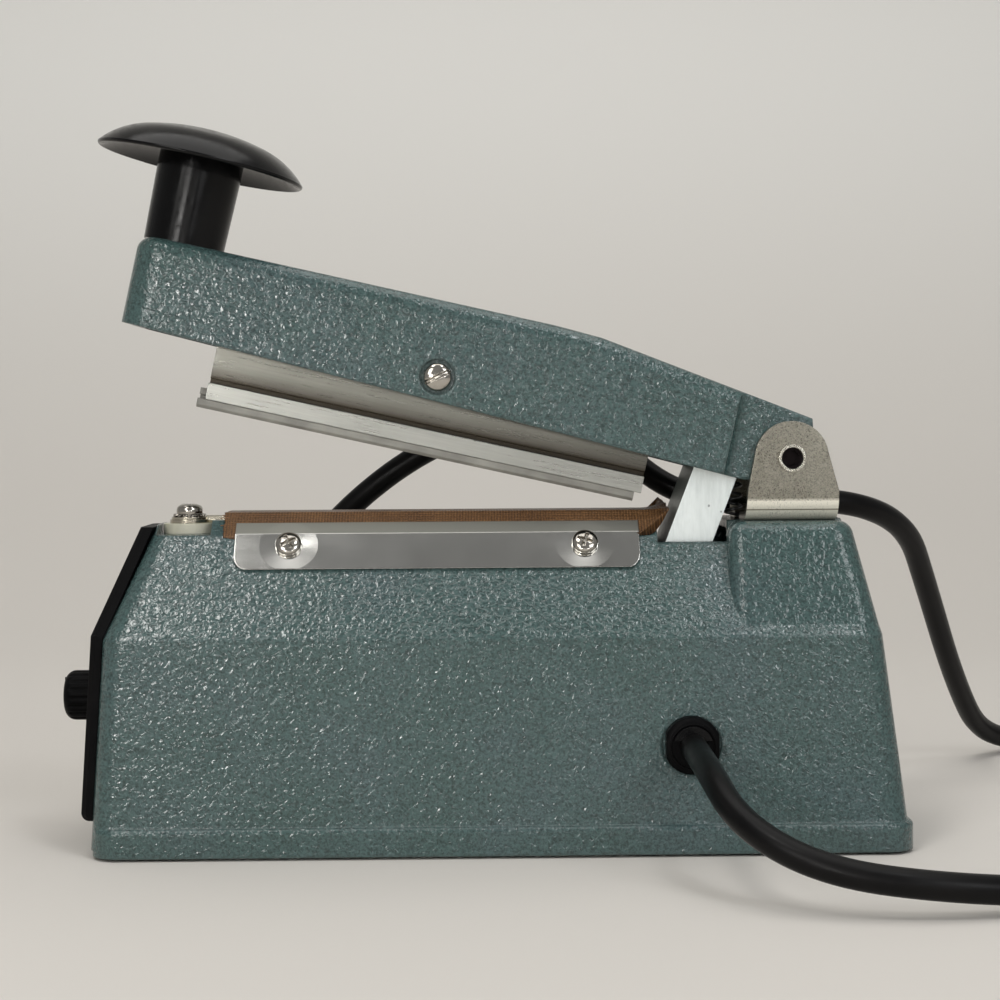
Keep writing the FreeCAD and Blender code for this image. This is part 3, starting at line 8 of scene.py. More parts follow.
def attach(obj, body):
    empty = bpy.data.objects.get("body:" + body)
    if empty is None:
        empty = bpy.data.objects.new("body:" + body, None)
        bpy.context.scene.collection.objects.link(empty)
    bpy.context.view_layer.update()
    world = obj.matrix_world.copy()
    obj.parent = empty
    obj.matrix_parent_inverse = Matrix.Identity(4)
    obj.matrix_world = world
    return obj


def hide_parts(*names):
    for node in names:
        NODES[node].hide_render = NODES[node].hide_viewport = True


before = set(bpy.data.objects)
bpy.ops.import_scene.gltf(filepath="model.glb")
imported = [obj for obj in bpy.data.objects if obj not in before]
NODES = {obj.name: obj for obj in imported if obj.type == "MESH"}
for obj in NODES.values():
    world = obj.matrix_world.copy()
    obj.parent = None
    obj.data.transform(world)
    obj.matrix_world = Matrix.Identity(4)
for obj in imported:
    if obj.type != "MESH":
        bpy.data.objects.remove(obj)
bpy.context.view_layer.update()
MM = 0.001

# Places that the source of the part names, in millimetres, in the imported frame
SHIFT_X = 6.382
PIN = Vector((78.5 + SHIFT_X, 0.0, 104.1))
OPEN_TILT = math.radians(12.6)
DECK_Z = 88.0
CLOTH_X0 = -75.5 + SHIFT_X
PLATE_X0 = -72.0 + SHIFT_X
PLATE_X1 = 37.4 + SHIFT_X
SHOULDER_HALF = 14.5
SHOULDER_Z = 84.0
DECK_HALF = 9.5
STRIP_HALF = 7.6
CLOTH_TOP = 90.05
PLATE_FLANK = 54.3
PLATE_SCREWS_X = (PLATE_X0 + 14.6, PLATE_X1 - 14.8)
PLATE_SCREW_Z = 81.0
FLANK_SLOPE = math.tan(math.radians(PLATE_FLANK))
PLATE_SCREW_Y = SHOULDER_HALF + (SHOULDER_Z - PLATE_SCREW_Z) / FLANK_SLOPE
PLATE_THICK = 0.82
PIVOT_ALONG = 98.0
PIVOT_ABOVE = 1.1
ARM_FACE_Y = 17.4
FLAP_LOW_Z = 82.9
CLOTH_LOOSE = 8.8
CLOTH_FLAT = 2.6
TERMINAL_X = -86.3 + SHIFT_X
TERMINAL_SEAT = 87.0
CORD_R = 3.5
GLAND_X = 49.4 + SHIFT_X
GLAND_Z = 29.3
GLAND_FACE_Y = -38.98
DIAL_Z = 39.2
PANEL_LOW = (-112.039 + SHIFT_X, 9.4)
PANEL_MID = (-109.1 + SHIFT_X, 58.4)
PANEL_LEAN = math.atan2(PANEL_MID[0] - PANEL_LOW[0], PANEL_MID[1] - PANEL_LOW[1])

# Height of the cord's middle line where it lies on the floor
FLOOR = CORD_R + 0.05


def srgb(r, g, b):
    """A colour of 0 to 255 steps as Blender's linear values."""
    def linear(c):
        c /= 255.0
        return c / 12.92 if c <= 0.04045 else ((c + 0.055) / 1.055) ** 2.4
    return (linear(r), linear(g), linear(b), 1.0)


def grey(value):
    return (value, value, value, 1.0)


def added(name, data):
    """A new object of the scene that shows the data."""
    made = bpy.data.objects.new(name, data)
    bpy.context.scene.collection.objects.link(made)
    return made


# Camera, at the photograph's place and with the photograph's angle of view

IMAGE_PX = 1000.0
SENSOR_WIDTH = 36.0
FOCAL_PX = 2002.0
CAMERA_AT = Vector((-2.0, -557.5, 112.2)) * MM
YAW = math.atan(30.0 / FOCAL_PX)
PITCH = math.atan(70.0 / FOCAL_PX)
ROLL = math.radians(0.38)


def make_camera():
    data = bpy.data.cameras.new("camera")
    data.sensor_width = SENSOR_WIDTH
    data.sensor_fit = "HORIZONTAL"
    data.lens = FOCAL_PX / IMAGE_PX * SENSOR_WIDTH
    data.clip_start = 0.01
    data.clip_end = 20.0
    level = math.cos(PITCH)
    ahead = Vector((math.sin(YAW) * level, math.cos(YAW) * level, -math.sin(PITCH)))
    right = Vector((math.cos(YAW), -math.sin(YAW), 0.0))
    up = right.cross(ahead)
    side = right * math.cos(ROLL) - up * math.sin(ROLL)
    top = right * math.sin(ROLL) + up * math.cos(ROLL)
    turn = Matrix((side, top, -ahead)).transposed().to_4x4()
    camera = added("camera", data)
    camera.matrix_world = Matrix.Translation(CAMERA_AT) @ turn
    bpy.context.scene.camera = camera
    bpy.context.scene.view_settings.view_transform = "Standard"


# Materials

class Shader:
    """A material with one Principled shader. Its first colour and roughness are plain ones,
    which linked textures take over."""

    def __init__(self, name, color=grey(0.5), metallic=0.0, roughness=0.5, **sockets):
        self.material = bpy.data.materials.new(name)
        self.material.use_nodes = True
        self.nodes = self.material.node_tree.nodes
        self.links = self.material.node_tree.links
        self.bsdf = self.nodes["Principled BSDF"]
        self.bsdf.inputs["Base Color"].default_value = color
        self.bsdf.inputs["Metallic"].default_value = metallic
        self.bsdf.inputs["Roughness"].default_value = roughness
        for socket, value in sockets.items():
            self.bsdf.inputs[socket.replace("_", " ")].default_value = value
        self.coords = self.nodes.new("ShaderNodeTexCoord").outputs["Object"]

    def node(self, kind, **values):
        """A new node, with values for its sockets or its own settings."""
        made = self.nodes.new(kind)
        for key, value in values.items():
            if key in made.inputs.keys():
                made.inputs[key].default_value = value
            else:
                setattr(made, key, value)
        return made

    def link(self, a, b):
        self.links.new(a, b)

    def feed(self, socket, value):
        """Links an output to a socket, or sets the socket to a number or colour."""
        if isinstance(value, (int, float, tuple)):
            socket.default_value = value
        else:
            self.link(value, socket)

    def stretched(self, scale, turn=(0.0, 0.0, 0.0)):
        """Object coordinates, turned and then scaled, for streaks along one way."""
        mapping = self.node("ShaderNodeMapping", vector_type="TEXTURE")
        mapping.inputs["Rotation"].default_value = turn
        mapping.inputs["Scale"].default_value = scale
        self.link(self.coords, mapping.inputs["Vector"])
        return mapping.outputs["Vector"]

    def noise(self, scale, detail=2.0, rough=0.5, distortion=0.0, vector=None):
        made = self.node(
            "ShaderNodeTexNoise", Scale=scale, Detail=detail, Roughness=rough,
            Distortion=distortion)
        self.link(vector or self.coords, made.inputs["Vector"])
        return made.outputs["Fac"]

    def voronoi(self, scale):
        made = self.node("ShaderNodeTexVoronoi", feature="F1", Scale=scale, Randomness=1.0)
        self.link(self.coords, made.inputs["Vector"])
        return made.outputs["Distance"]

    def ramp(self, fac, stops):
        """Colours at places from nothing to one."""
        made = self.nodes.new("ShaderNodeValToRGB")
        elements = made.color_ramp.elements
        while len(elements) < len(stops):
            elements.new(0.5)
        for element, (place, color) in zip(elements, stops):
            element.position = place
            element.color = color if len(color) == 4 else (*color, 1.0)
        self.link(fac, made.inputs["Fac"])
        return made.outputs["Color"]

    def mix(self, fac, a, b, blend="MIX"):
        made = self.nodes.new("ShaderNodeMix")
        made.data_type = "RGBA"
        made.blend_type = blend
        self.feed(made.inputs[0], fac)
        self.feed(made.inputs[6], a)
        self.feed(made.inputs[7], b)
        return made.outputs[2]

    def times(self, a, b):
        """One colour multiplied by another."""
        return self.mix(1.0, a, b, "MULTIPLY")

    def span(self, value, low, high, start=0.0, end=1.0):
        """A value that runs from start to end, carried to low to high."""
        made = self.nodes.new("ShaderNodeMapRange")
        made.inputs["From Min"].default_value = start
        made.inputs["From Max"].default_value = end
        made.inputs["To Min"].default_value = low
        made.inputs["To Max"].default_value = high
        self.link(value, made.inputs["Value"])
        return made.outputs["Result"]

    def combine(self, operation, a, b):
        """Two values joined by an operation of arithmetic."""
        made = self.node("ShaderNodeMath", operation=operation)
        self.feed(made.inputs[0], a)
        self.feed(made.inputs[1], b)
        return made.outputs[0]

    def near(self, value, middle, width):
        """One where a value is within a width of the middle, and nothing elsewhere."""
        made = self.combine("COMPARE", value, middle)
        made.node.inputs[2].default_value = width
        return made

    def bump(self, height, distance, strength=1.0, normal=None):
        made = self.node("ShaderNodeBump", Strength=strength, Distance=distance)
        self.link(height, made.inputs["Height"])
        if normal is not None:
            self.link(normal, made.inputs["Normal"])
        self.link(made.outputs["Normal"], self.bsdf.inputs["Normal"])
        return made.outputs["Normal"]

    def soft_edges(self, radius):
        """The shader's rounding of sharp edges, which moves no face."""
        made = self.node("ShaderNodeBevel", samples=6, Radius=radius)
        self.link(made.outputs["Normal"], self.bsdf.inputs["Normal"])
        return made.outputs["Normal"]

    def worn_edges(self, radius):
        """One on sharp edges and nothing on the flats, from the rounded normal."""
        rounded = self.node("ShaderNodeBevel", samples=4, Radius=radius)
        straight = self.nodes.new("ShaderNodeNewGeometry")
        turn = self.node("ShaderNodeVectorMath", operation="DOT_PRODUCT")
        self.link(rounded.outputs["Normal"], turn.inputs[0])
        self.link(straight.outputs["Normal"], turn.inputs[1])
        return self.span(turn.outputs["Value"], 1.0, 0.0, 0.82, 0.99)

    def worn(self, ground, bare, radius, share):
        """The ground colour, with a share of the bare one on sharp edges."""
        return self.mix(self.combine("MULTIPLY", self.worn_edges(radius), share), ground, bare)

    def facing(self, direction, low, high):
        """Nothing to one as the surface turns to a direction of the object."""
        normal = self.nodes.new("ShaderNodeNewGeometry").outputs["Normal"]
        return self.along(normal, (0.0, 0.0, 0.0), direction, low, high)

    def along(self, vector, origin, direction, low, high):
        """Nothing to one as a vector's share along a direction grows from low to high."""
        offset = self.node("ShaderNodeVectorMath", operation="SUBTRACT")
        offset.inputs[1].default_value = origin
        turn = self.node("ShaderNodeVectorMath", operation="DOT_PRODUCT")
        turn.inputs[1].default_value = direction
        self.link(vector, offset.inputs[0])
        self.link(offset.outputs[0], turn.inputs[0])
        return self.span(turn.outputs["Value"], 0.0, 1.0, low, high)

    def distance(self, centre, axes=(1.0, 1.0, 1.0)):
        """Distance from a point of the object in centimetres, along the axes that are ones."""
        offset = self.node("ShaderNodeVectorMath", operation="SUBTRACT")
        offset.inputs[1].default_value = centre
        kept = self.node("ShaderNodeVectorMath", operation="MULTIPLY")
        kept.inputs[1].default_value = axes
        length = self.node("ShaderNodeVectorMath", operation="LENGTH")
        self.link(self.coords, offset.inputs[0])
        self.link(offset.outputs[0], kept.inputs[0])
        self.link(kept.outputs[0], length.inputs[0])
        return self.combine("MULTIPLY", length.outputs["Value"], 100.0)

    def color(self, output):
        self.link(output, self.bsdf.inputs["Base Color"])

    def roughness(self, output):
        self.link(output, self.bsdf.inputs["Roughness"])


def hammered_paint():
    """Hammertone enamel: a net of darker specks under gloss that lies in worm-like lumps."""
    s = Shader("hammered_paint", roughness=0.14, Specular_IOR_Level=0.62)
    cells = s.noise(1500.0, 2.0, 0.5, 0.6)
    ground = s.ramp(s.noise(26.0, 3.0, 0.55), [
        (0.36, srgb(67, 90, 88)), (0.52, srgb(70, 92, 91)), (0.66, srgb(73, 93, 94))])
    flecks = s.ramp(cells, [(0.38, grey(0.6)), (0.5, grey(0.95)), (0.66, grey(1.1))])
    dots = s.ramp(s.noise(760.0, 1.0, 0.5, 0.2), [(0.36, grey(0.8)), (0.48, grey(1.0))])
    painted = s.times(s.times(ground, flecks), dots)
    s.color(s.worn(painted, srgb(126, 142, 140), 0.8 * MM, 0.25))
    s.roughness(s.span(cells, 0.1, 0.18))
    lumps = s.bump(s.noise(640.0, 1.0, 0.5, 0.9), 0.3 * MM, 1.0, s.soft_edges(1.1 * MM))
    s.bump(s.noise(240.0, 1.0), 0.2 * MM, 0.4, lumps)
    return s.material


def moulded_black():
    """Matt black moulding, a little greyer on its edges."""
    s = Shader("moulded_black", srgb(16, 16, 17), roughness=0.42, Specular_IOR_Level=0.05)
    ground = s.ramp(s.noise(70.0, 4.0, 0.6), [(0.3, srgb(6, 6, 7)), (0.7, srgb(13, 13, 14))])
    s.color(s.worn(ground, srgb(48, 47, 47), 0.4 * MM, 0.2))
    s.roughness(s.span(s.noise(420.0, 3.0), 0.36, 0.55))
    s.bump(s.noise(2600.0, 2.0), 0.05 * MM, 0.5, s.soft_edges(0.5 * MM))
    return s.material


def polished_black():
    """Glossy black moulding with fine scuffs round it."""
    s = Shader("polished_black", srgb(9, 9, 10), roughness=0.16, Specular_IOR_Level=0.2)
    scuffs = s.noise(320.0, 5.0, 0.75, 0.8, s.stretched((1.0, 6.0, 1.0)))
    s.color(s.ramp(s.noise(30.0, 3.0), [(0.3, srgb(7, 7, 8)), (0.7, srgb(13, 13, 14))]))
    s.roughness(s.ramp(scuffs, [(0.35, grey(0.12)), (0.75, grey(0.3))]))
    s.bump(s.noise(60.0, 2.0), 0.06 * MM, 0.2)
    return s.material


def plated(name, color, rough, streak=(1.0, 1.0, 1.0), grain=900.0, edge=0.25):
    """Metal with a plated or drawn surface: streaks in colour, gloss and bump."""
    s = Shader(name, color, 1.0, rough)
    lines = s.noise(grain, 4.0, 0.65, vector=s.stretched(streak))
    cloud = s.noise(45.0, 3.0, 0.6)
    darker = tuple(c * 0.8 for c in color[:3]) + (1.0,)
    lighter = tuple(min(1.0, c * 1.12) for c in color[:3]) + (1.0,)
    base = s.ramp(cloud, [(0.3, darker), (0.55, color), (0.75, lighter)])
    s.color(s.mix(0.45, base, s.ramp(lines, [(0.3, darker), (0.7, lighter)])))
    streaks = s.span(lines, rough * 0.55, rough * 1.15)
    s.roughness(s.combine("ADD", streaks, s.span(cloud, 0.0, rough * 0.35)))
    s.bump(lines, 0.012 * MM, 0.6, s.soft_edges(edge * MM))
    return s.material


def screw_dimples(s):
    """Nothing at the screws of the guard plates, and one away from them."""
    dents = None
    for x in PLATE_SCREWS_X:
        for y in (-PLATE_SCREW_Y, PLATE_SCREW_Y):
            near = s.distance((x * MM, y * MM, PLATE_SCREW_Z * MM))
            dent = s.ramp(near, [(0.3, grey(0.0)), (0.8, grey(1.0))])
            dents = dent if dents is None else s.combine("MINIMUM", dents, dent)
    return dents


def guard_mirror():
    """Polished stainless, pulled in a little round its screws, with a haze on the bent top."""
    s = Shader("guard_mirror", (0.5, 0.5, 0.48, 1.0), 1.0, 0.12)
    haze = s.noise(38.0, 3.0, 0.6)
    scuffs = s.noise(420.0, 5.0, 0.7, vector=s.stretched((5.0, 1.0, 1.0)))
    top = s.facing((0.0, 0.0, 1.0), 0.64, 0.72)
    face = s.ramp(haze, [(0.3, (0.45, 0.45, 0.43)), (0.7, (0.54, 0.54, 0.52))])
    s.color(s.mix(top, face, (0.42, 0.42, 0.38, 1.0)))
    polish = s.combine("ADD", s.span(haze, 0.05, 0.12), s.span(scuffs, 0.0, 0.05))
    s.roughness(s.combine("ADD", polish, s.combine("MULTIPLY", top, 0.4)))
    dimpled = s.bump(screw_dimples(s), 0.2 * MM, 1.0, s.soft_edges(0.35 * MM))
    s.bump(haze, 0.05 * MM, 0.3, dimpled)
    return s.material


def speckled_nickel():
    """Satin nickel with a fine speckle from tumbling, and a painted highlight along the bend at
    its foot.
    """
    s = Shader("speckled_nickel", (0.5, 0.47, 0.38, 1.0), 1.0, 0.3)
    speckle = s.noise(2600.0, 3.0, 0.7)
    cloud = s.noise(90.0, 4.0, 0.6)
    base = s.ramp(cloud, [(0.3, (0.2, 0.19, 0.15)), (0.6, (0.27, 0.255, 0.21))])
    grain = s.ramp(speckle, [(0.34, (0.1, 0.095, 0.08)), (0.62, (0.38, 0.36, 0.3))])
    grained = s.mix(0.6, base, grain)
    # Painted highlight: the down-facing bend at the foot gets a bright cream colour, a darker
    # line along its middle and less metal, for the bright floor that it reflects.
    bend = s.facing((0.0, 0.0, -1.0), 0.02, 0.12)
    crease = s.near(s.facing((0.0, 0.0, -1.0), 0.0, 1.0), 0.5, 0.03)
    bend_highlight = s.mix(crease, (0.95, 0.92, 0.8, 1.0), (0.3, 0.27, 0.2, 1.0))
    s.color(s.mix(bend, grained, s.mix(0.85, grained, bend_highlight)))
    s.link(s.span(bend, 1.0, 0.25), s.bsdf.inputs["Metallic"])
    s.roughness(s.combine("ADD", s.span(speckle, 0.18, 0.34), s.span(cloud, 0.0, 0.06)))
    s.bump(speckle, 0.02 * MM, 0.8, s.soft_edges(0.35 * MM))
    return s.material


def pin_steel():
    """The hinge pin: a bright turned rim round a recess painted black as shade."""
    s = Shader("pin_steel", (0.5, 0.48, 0.42, 1.0), 1.0, 0.22)
    rings = s.distance(PIN * MM, (1.0, 0.0, 1.0))
    outside = s.ramp(rings, [(0.285, grey(0.0)), (0.3, grey(1.0))])
    turned = s.noise(900.0, 3.0, 0.6)
    rim = s.ramp(turned, [(0.35, (0.42, 0.4, 0.34)), (0.65, (0.72, 0.7, 0.62))])
    # Painted shade: inside the rim's radius the recess is coloured nearly black.
    s.color(s.mix(outside, (0.012, 0.01, 0.01, 1.0), rim))
    s.roughness(s.span(turned, 0.14, 0.3))
    s.bump(turned, 0.015 * MM, 0.6, s.soft_edges(0.3 * MM))
    return s.material


def drawn_bar():
    """Drawn aluminium: streaks along the bar, a darker web and painted shade in the groove above
    the head.
    """
    s = Shader("drawn_bar", (0.4, 0.4, 0.37, 1.0), 1.0, 0.3)
    lengthwise = s.stretched((30.0, 1.0, 1.0), (0.0, OPEN_TILT, 0.0))
    lines = s.noise(1500.0, 4.0, 0.65, vector=lengthwise)
    cloud = s.noise(45.0, 3.0, 0.6)
    base = s.ramp(cloud, [(0.3, (0.33, 0.335, 0.31)), (0.7, (0.41, 0.415, 0.385))])
    streaks = s.ramp(lines, [(0.3, (0.3, 0.3, 0.28)), (0.7, (0.45, 0.45, 0.42))])
    up = (math.sin(OPEN_TILT), 0.0, math.cos(OPEN_TILT))
    height = s.along(s.coords, PIN * MM, up, -0.018, 0.006)
    # Painted shade: nearly black in the groove between the head and the web, fading upwards; the
    # web above stays at six tenths of the head's brightness.
    corner = s.ramp(height, [
        (0.0, grey(1.0)), (0.188, grey(1.0)), (0.194, (0.1, 0.09, 0.08)),
        (0.25, (0.12, 0.1, 0.08)), (0.3, (0.3, 0.28, 0.26)), (0.44, (0.6, 0.59, 0.56)),
    ])
    s.color(s.times(s.mix(0.45, base, streaks), corner))
    s.roughness(s.span(lines, 0.2, 0.38))
    s.bump(lines, 0.02 * MM, 0.6, s.soft_edges(0.25 * MM))
    return s.material


def passivated_zinc():
    """Bright zinc plate gone matt and nearly white, with a few pits and painted shade on its
    left-facing side.
    """
    s = Shader("passivated_zinc", (0.8, 0.86, 0.85, 1.0), 0.35, 0.42)
    lines = s.noise(900.0, 4.0, 0.65, vector=s.stretched((1.0, 1.0, 7.0)))
    cloud = s.noise(60.0, 4.0, 0.6)
    base = s.ramp(cloud, [(0.3, (0.7, 0.76, 0.75)), (0.6, (0.84, 0.9, 0.89))])
    streaks = s.ramp(lines, [(0.35, (0.66, 0.71, 0.7)), (0.65, (0.9, 0.95, 0.94))])
    plate = s.mix(0.4, base, streaks)
    pits = s.ramp(s.voronoi(190.0), [(0.05, (0.3, 0.32, 0.32)), (0.09, grey(1.0))])
    sparse = s.ramp(s.noise(160.0, 1.0), [(0.56, grey(0.0)), (0.6, grey(1.0))])
    pitted = s.mix(sparse, plate, s.times(plate, pits))
    # Painted shade: faces turned to the left get a dark grey colour, as if in shadow.
    s.color(s.mix(s.facing((-1.0, 0.0, 0.0), 0.4, 0.7), pitted, (0.1, 0.12, 0.11, 1.0)))
    s.roughness(s.span(lines, 0.3, 0.5))
    s.bump(lines, 0.012 * MM, 0.6, s.soft_edges(0.3 * MM))
    return s.material


def silicone():
    """Grey silicone rubber, which light enters a little."""
    s = Shader("silicone", srgb(150, 149, 143), roughness=0.5, Subsurface_Weight=0.15)
    s.bsdf.inputs["Subsurface Radius"].default_value = (0.004, 0.004, 0.004)
    s.bsdf.inputs["Subsurface Scale"].default_value = 0.3
    cloud = s.noise(120.0, 3.0)
    s.color(s.ramp(cloud, [(0.3, srgb(132, 131, 125)), (0.7, srgb(164, 163, 156))]))
    s.roughness(s.span(s.noise(500.0, 3.0), 0.42, 0.6))
    s.bump(s.noise(1800.0, 3.0), 0.04 * MM, 0.4, s.soft_edges(0.35 * MM))
    return s.material


def nylon():
    """Natural nylon gone yellowish, which light enters a little."""
    s = Shader("nylon", srgb(206, 204, 186), roughness=0.38, Subsurface_Weight=0.25)
    s.bsdf.inputs["Subsurface Radius"].default_value = (0.003, 0.003, 0.002)
    s.bsdf.inputs["Subsurface Scale"].default_value = 0.4
    cloud = s.noise(140.0, 3.0)
    s.color(s.ramp(cloud, [(0.3, srgb(190, 188, 170)), (0.7, srgb(216, 214, 198))]))
    s.roughness(s.span(s.noise(500.0, 3.0), 0.32, 0.46))
    s.bump(s.noise(900.0, 2.0), 0.03 * MM, 0.4, s.soft_edges(0.3 * MM))
    return s.material


def yarns(s, direction):
    """Bands 0.8 mm apart across the sheet's flat coordinates, a little wavy."""
    made = s.node(
        "ShaderNodeTexWave", wave_type="BANDS", bands_direction=direction, Scale=0.4,
        Distortion=1.6)
    made.inputs["Detail"].default_value = 2.0
    made.inputs["Detail Scale"].default_value = 2.0
    s.link(s.coords, made.inputs["Vector"])
    return made.outputs["Color"]


def woven_cloth():
    """Glass cloth with a PTFE coat: brown, with a plain over and under weave painted darker in
    its low parts and lighter on its yarn crests.
    """
    s = Shader("woven_cloth", srgb(96, 72, 48), roughness=0.4)
    s.coords = s.node("ShaderNodeUVMap").outputs["UV"]
    warp = yarns(s, "X")
    weft = yarns(s, "Y")
    checks = s.node("ShaderNodeTexChecker", Scale=2.5)
    s.link(s.coords, checks.inputs["Vector"])
    over = s.mix(checks.outputs["Fac"], warp, weft)
    cloud = s.noise(0.09, 4.0, 0.6)
    ground = s.ramp(cloud, [
        (0.3, srgb(92, 62, 38)), (0.5, srgb(112, 80, 50)), (0.72, srgb(132, 98, 64))])
    # Painted shade and highlight: the weave's low parts are coloured darker and its yarn crests
    # lighter.
    low = s.times(ground, (0.5, 0.46, 0.42, 1.0))
    high = s.mix(0.4, ground, srgb(158, 122, 84))
    speckle = s.noise(1.5, 2.0, 0.6)
    specks = s.ramp(speckle, [(0.36, (0.62, 0.58, 0.54)), (0.6, (1.18, 1.14, 1.08))])
    s.color(s.times(s.mix(over, low, high), specks))
    s.roughness(s.span(cloud, 0.3, 0.5))
    s.bump(over, 0.14 * MM, 0.9)
    return s.material


def cord_jacket():
    """Black PVC of the mains cord."""
    s = Shader("cord_jacket", srgb(11, 11, 12), roughness=0.36, Specular_IOR_Level=0.15)
    s.color(s.ramp(s.noise(90.0, 3.0), [(0.3, srgb(8, 8, 9)), (0.7, srgb(15, 14, 14))]))
    s.roughness(s.span(s.noise(300.0, 4.0), 0.28, 0.44))
    s.bump(s.noise(1500.0, 2.0), 0.03 * MM, 0.4)
    return s.material


def plain_grain(name, low, high, rough, scale=300.0, depth=0.04, edge=0.3, metallic=0.0):
    """A clouded colour between two shades, with a fine grain."""
    s = Shader(name, low, metallic, rough)
    s.color(s.ramp(s.noise(scale * 0.2, 4.0), [(0.3, low), (0.7, high)]))
    s.roughness(s.span(s.noise(scale, 3.0), rough * 0.8, min(1.0, rough * 1.2)))
    s.bump(s.noise(scale * 4.0, 2.0), depth * MM, 0.5, s.soft_edges(edge * MM))
    return s.material


def mesh_object(name, verts, faces, material, smooth=True):
    """A new piece from points in millimetres."""
    mesh = bpy.data.meshes.new(name)
    mesh.from_pydata([tuple(Vector(v) * MM) for v in verts], [], faces)
    mesh.validate()
    if smooth:
        mesh.polygons.foreach_set("use_smooth", [True] * len(mesh.polygons))
    mesh.materials.append(material)
    return added(name, mesh)


def round_curve(name, radius, resolution, material):
    """A curve with a round section and no spline yet, its radius in millimetres."""
    curve = bpy.data.curves.new(name, "CURVE")
    curve.dimensions = "3D"
    curve.bevel_depth = radius * MM
    curve.bevel_resolution = resolution
    curve.materials.append(material)
    return curve


def dress(names, material):
    """Gives CAD nodes a material."""
    for name in names:
        mesh = NODES[name].data
        mesh.materials.clear()
        mesh.materials.append(material)


def make_materials():
    return {
        "paint": hammered_paint(),
        "panel": moulded_black(),
        "knob": polished_black(),
        "screw": plated("screw", (0.5, 0.475, 0.43, 1.0), 0.13, grain=700.0, edge=0.2),
        "nickel": speckled_nickel(),
        "zinc": passivated_zinc(),
        "mirror": guard_mirror(),
        "extrusion": drawn_bar(),
        "pin": pin_steel(),
        "silicone": silicone(),
        "nylon": nylon(),
        "cloth": woven_cloth(),
        "band": plated("band", (0.42, 0.39, 0.35, 1.0), 0.3, (20.0, 1.0, 1.0), edge=0.05),
        "brass": plated("brass", (0.62, 0.58, 0.48, 1.0), 0.2, edge=0.2),
        "core": plain_grain("core", srgb(52, 52, 55), srgb(76, 76, 80), 0.5, metallic=0.6),
        "winding": plain_grain("winding", srgb(150, 120, 40), srgb(180, 148, 60), 0.5),
        "board": plain_grain("board", srgb(24, 74, 40), srgb(34, 92, 52), 0.4),
        "moulded_parts": plain_grain(
            "moulded_parts", srgb(24, 24, 26), srgb(40, 40, 42), 0.4),
        "phenolic": plain_grain("phenolic", srgb(84, 48, 26), srgb(112, 66, 38), 0.5),
        "cord": cord_jacket(),
        "foot": plain_grain("foot", srgb(24, 24, 24), srgb(38, 38, 38), 0.7),
        "lens": plain_grain("lens", srgb(150, 24, 18), srgb(176, 32, 24), 0.15),
        "sheet_steel": plated(
            "sheet_steel", (0.46, 0.47, 0.48, 1.0), 0.36, (6.0, 1.0, 1.0), edge=0.3),
        "spring": plated("spring", (0.3, 0.3, 0.31, 1.0), 0.3, edge=0.05),
        "print": plain_grain(
            "print", srgb(206, 205, 200), srgb(222, 221, 217), 0.6, depth=0.01, edge=0.02),
        "thread": plain_grain(
            "thread", srgb(104, 74, 50), srgb(140, 104, 72), 0.7, scale=900.0, edge=0.02),
    }


NODE_FINISH = {
    "paint": ["base_casting", "arm_casting"],
    "panel": ["front_panel", "timer_knob", "strain_relief"],
    "knob": ["palm_knob"],
    "screw": [
        "panel_screws", "cover_screws", "strap_screws", "pot_nut", "switch_screws",
        "bracket_screws", "knob_screw", "cross_screw", "cross_nut", "lever_screws",
        "plate_screws", "terminal_screw", "rear_screws", "terminal_collar",
    ],
    "nickel": ["hinge_bracket"],
    "pin": ["hinge_pin"],
    "zinc": ["lever", "timer_pot", "pin_ring", "pot_shaft"],
    "mirror": ["guard_plate_near", "guard_plate_far"],
    "extrusion": ["press_bar"],
    "silicone": ["press_rubber"],
    "nylon": ["terminal_bush", "switch_plunger"],
    "cloth": ["release_cloth"],
    "band": ["heating_element"],
    "brass": ["element_lug", "terminal_nut", "plug_pins"],
    "core": ["transformer_core"],
    "winding": ["transformer_coil"],
    "board": ["timer_board"],
    "moulded_parts": ["board_parts", "microswitch"],
    "phenolic": ["insulating_strip", "rear_block"],
    "cord": ["plug_body", "power_cord", "cord_coil", "cord_tail"],
    "foot": ["rubber_feet"],
    "lens": ["lamp"],
    "sheet_steel": ["bottom_cover", "transformer_strap", "switch_plate"],
    "spring": ["return_spring"],
}


# Screws and washers

HEAD_STEPS = 84
HEAD_RINGS = 24
RECESS_DEPTH = 0.6

# Reach and half width of a recess's wing, as shares of the head's radius
SLOT_WING = (1.2, 0.14)
CROSS_WING = (0.62, 0.13)

# A lock washer's tooth: its share of the pitch, the gap's depth and the lift of its edge
TOOTH_SHARE = 0.62
TOOTH_GAP = 0.9
TOOTH_LIFT = 0.55


def placed(piece, centre, direction):
    """Turns a piece drawn about +Z to a direction and moves it, within its mesh."""
    turn = Vector(direction).normalized().to_track_quat("Z", "Y").to_matrix().to_4x4()
    piece.data.transform(Matrix.Translation(Vector(centre) * MM) @ turn)
    return piece


def wing(along, across, radius, size):
    """How far a point is inside one wing of a driver recess, from 0 to 1."""
    reach = size[0] * radius
    half = size[1] * radius
    beside = min(1.0, max(0.0, (half - abs(across)) / (0.05 * radius)))
    return beside * min(1.0, max(0.0, (reach - abs(along)) / (0.07 * radius)))


def recess_depth(x, y, radius, kind):
    """How deep the driver recess is at a point of a screw head, from 0 to 1."""
    if kind == "slot":
        return 0.6 * wing(x, y, radius, SLOT_WING)
    cross = max(wing(x, y, radius, CROSS_WING), wing(y, x, radius, CROSS_WING))
    return cross * (1.0 - 0.45 * min(1.0, math.hypot(x, y) / (CROSS_WING[0] * radius)))


def circle(radius, z):
    """The points of one ring about Z."""
    angles = [2.0 * math.pi * i / HEAD_STEPS for i in range(HEAD_STEPS)]
    return [(radius * math.cos(angle), radius * math.sin(angle), z) for angle in angles]


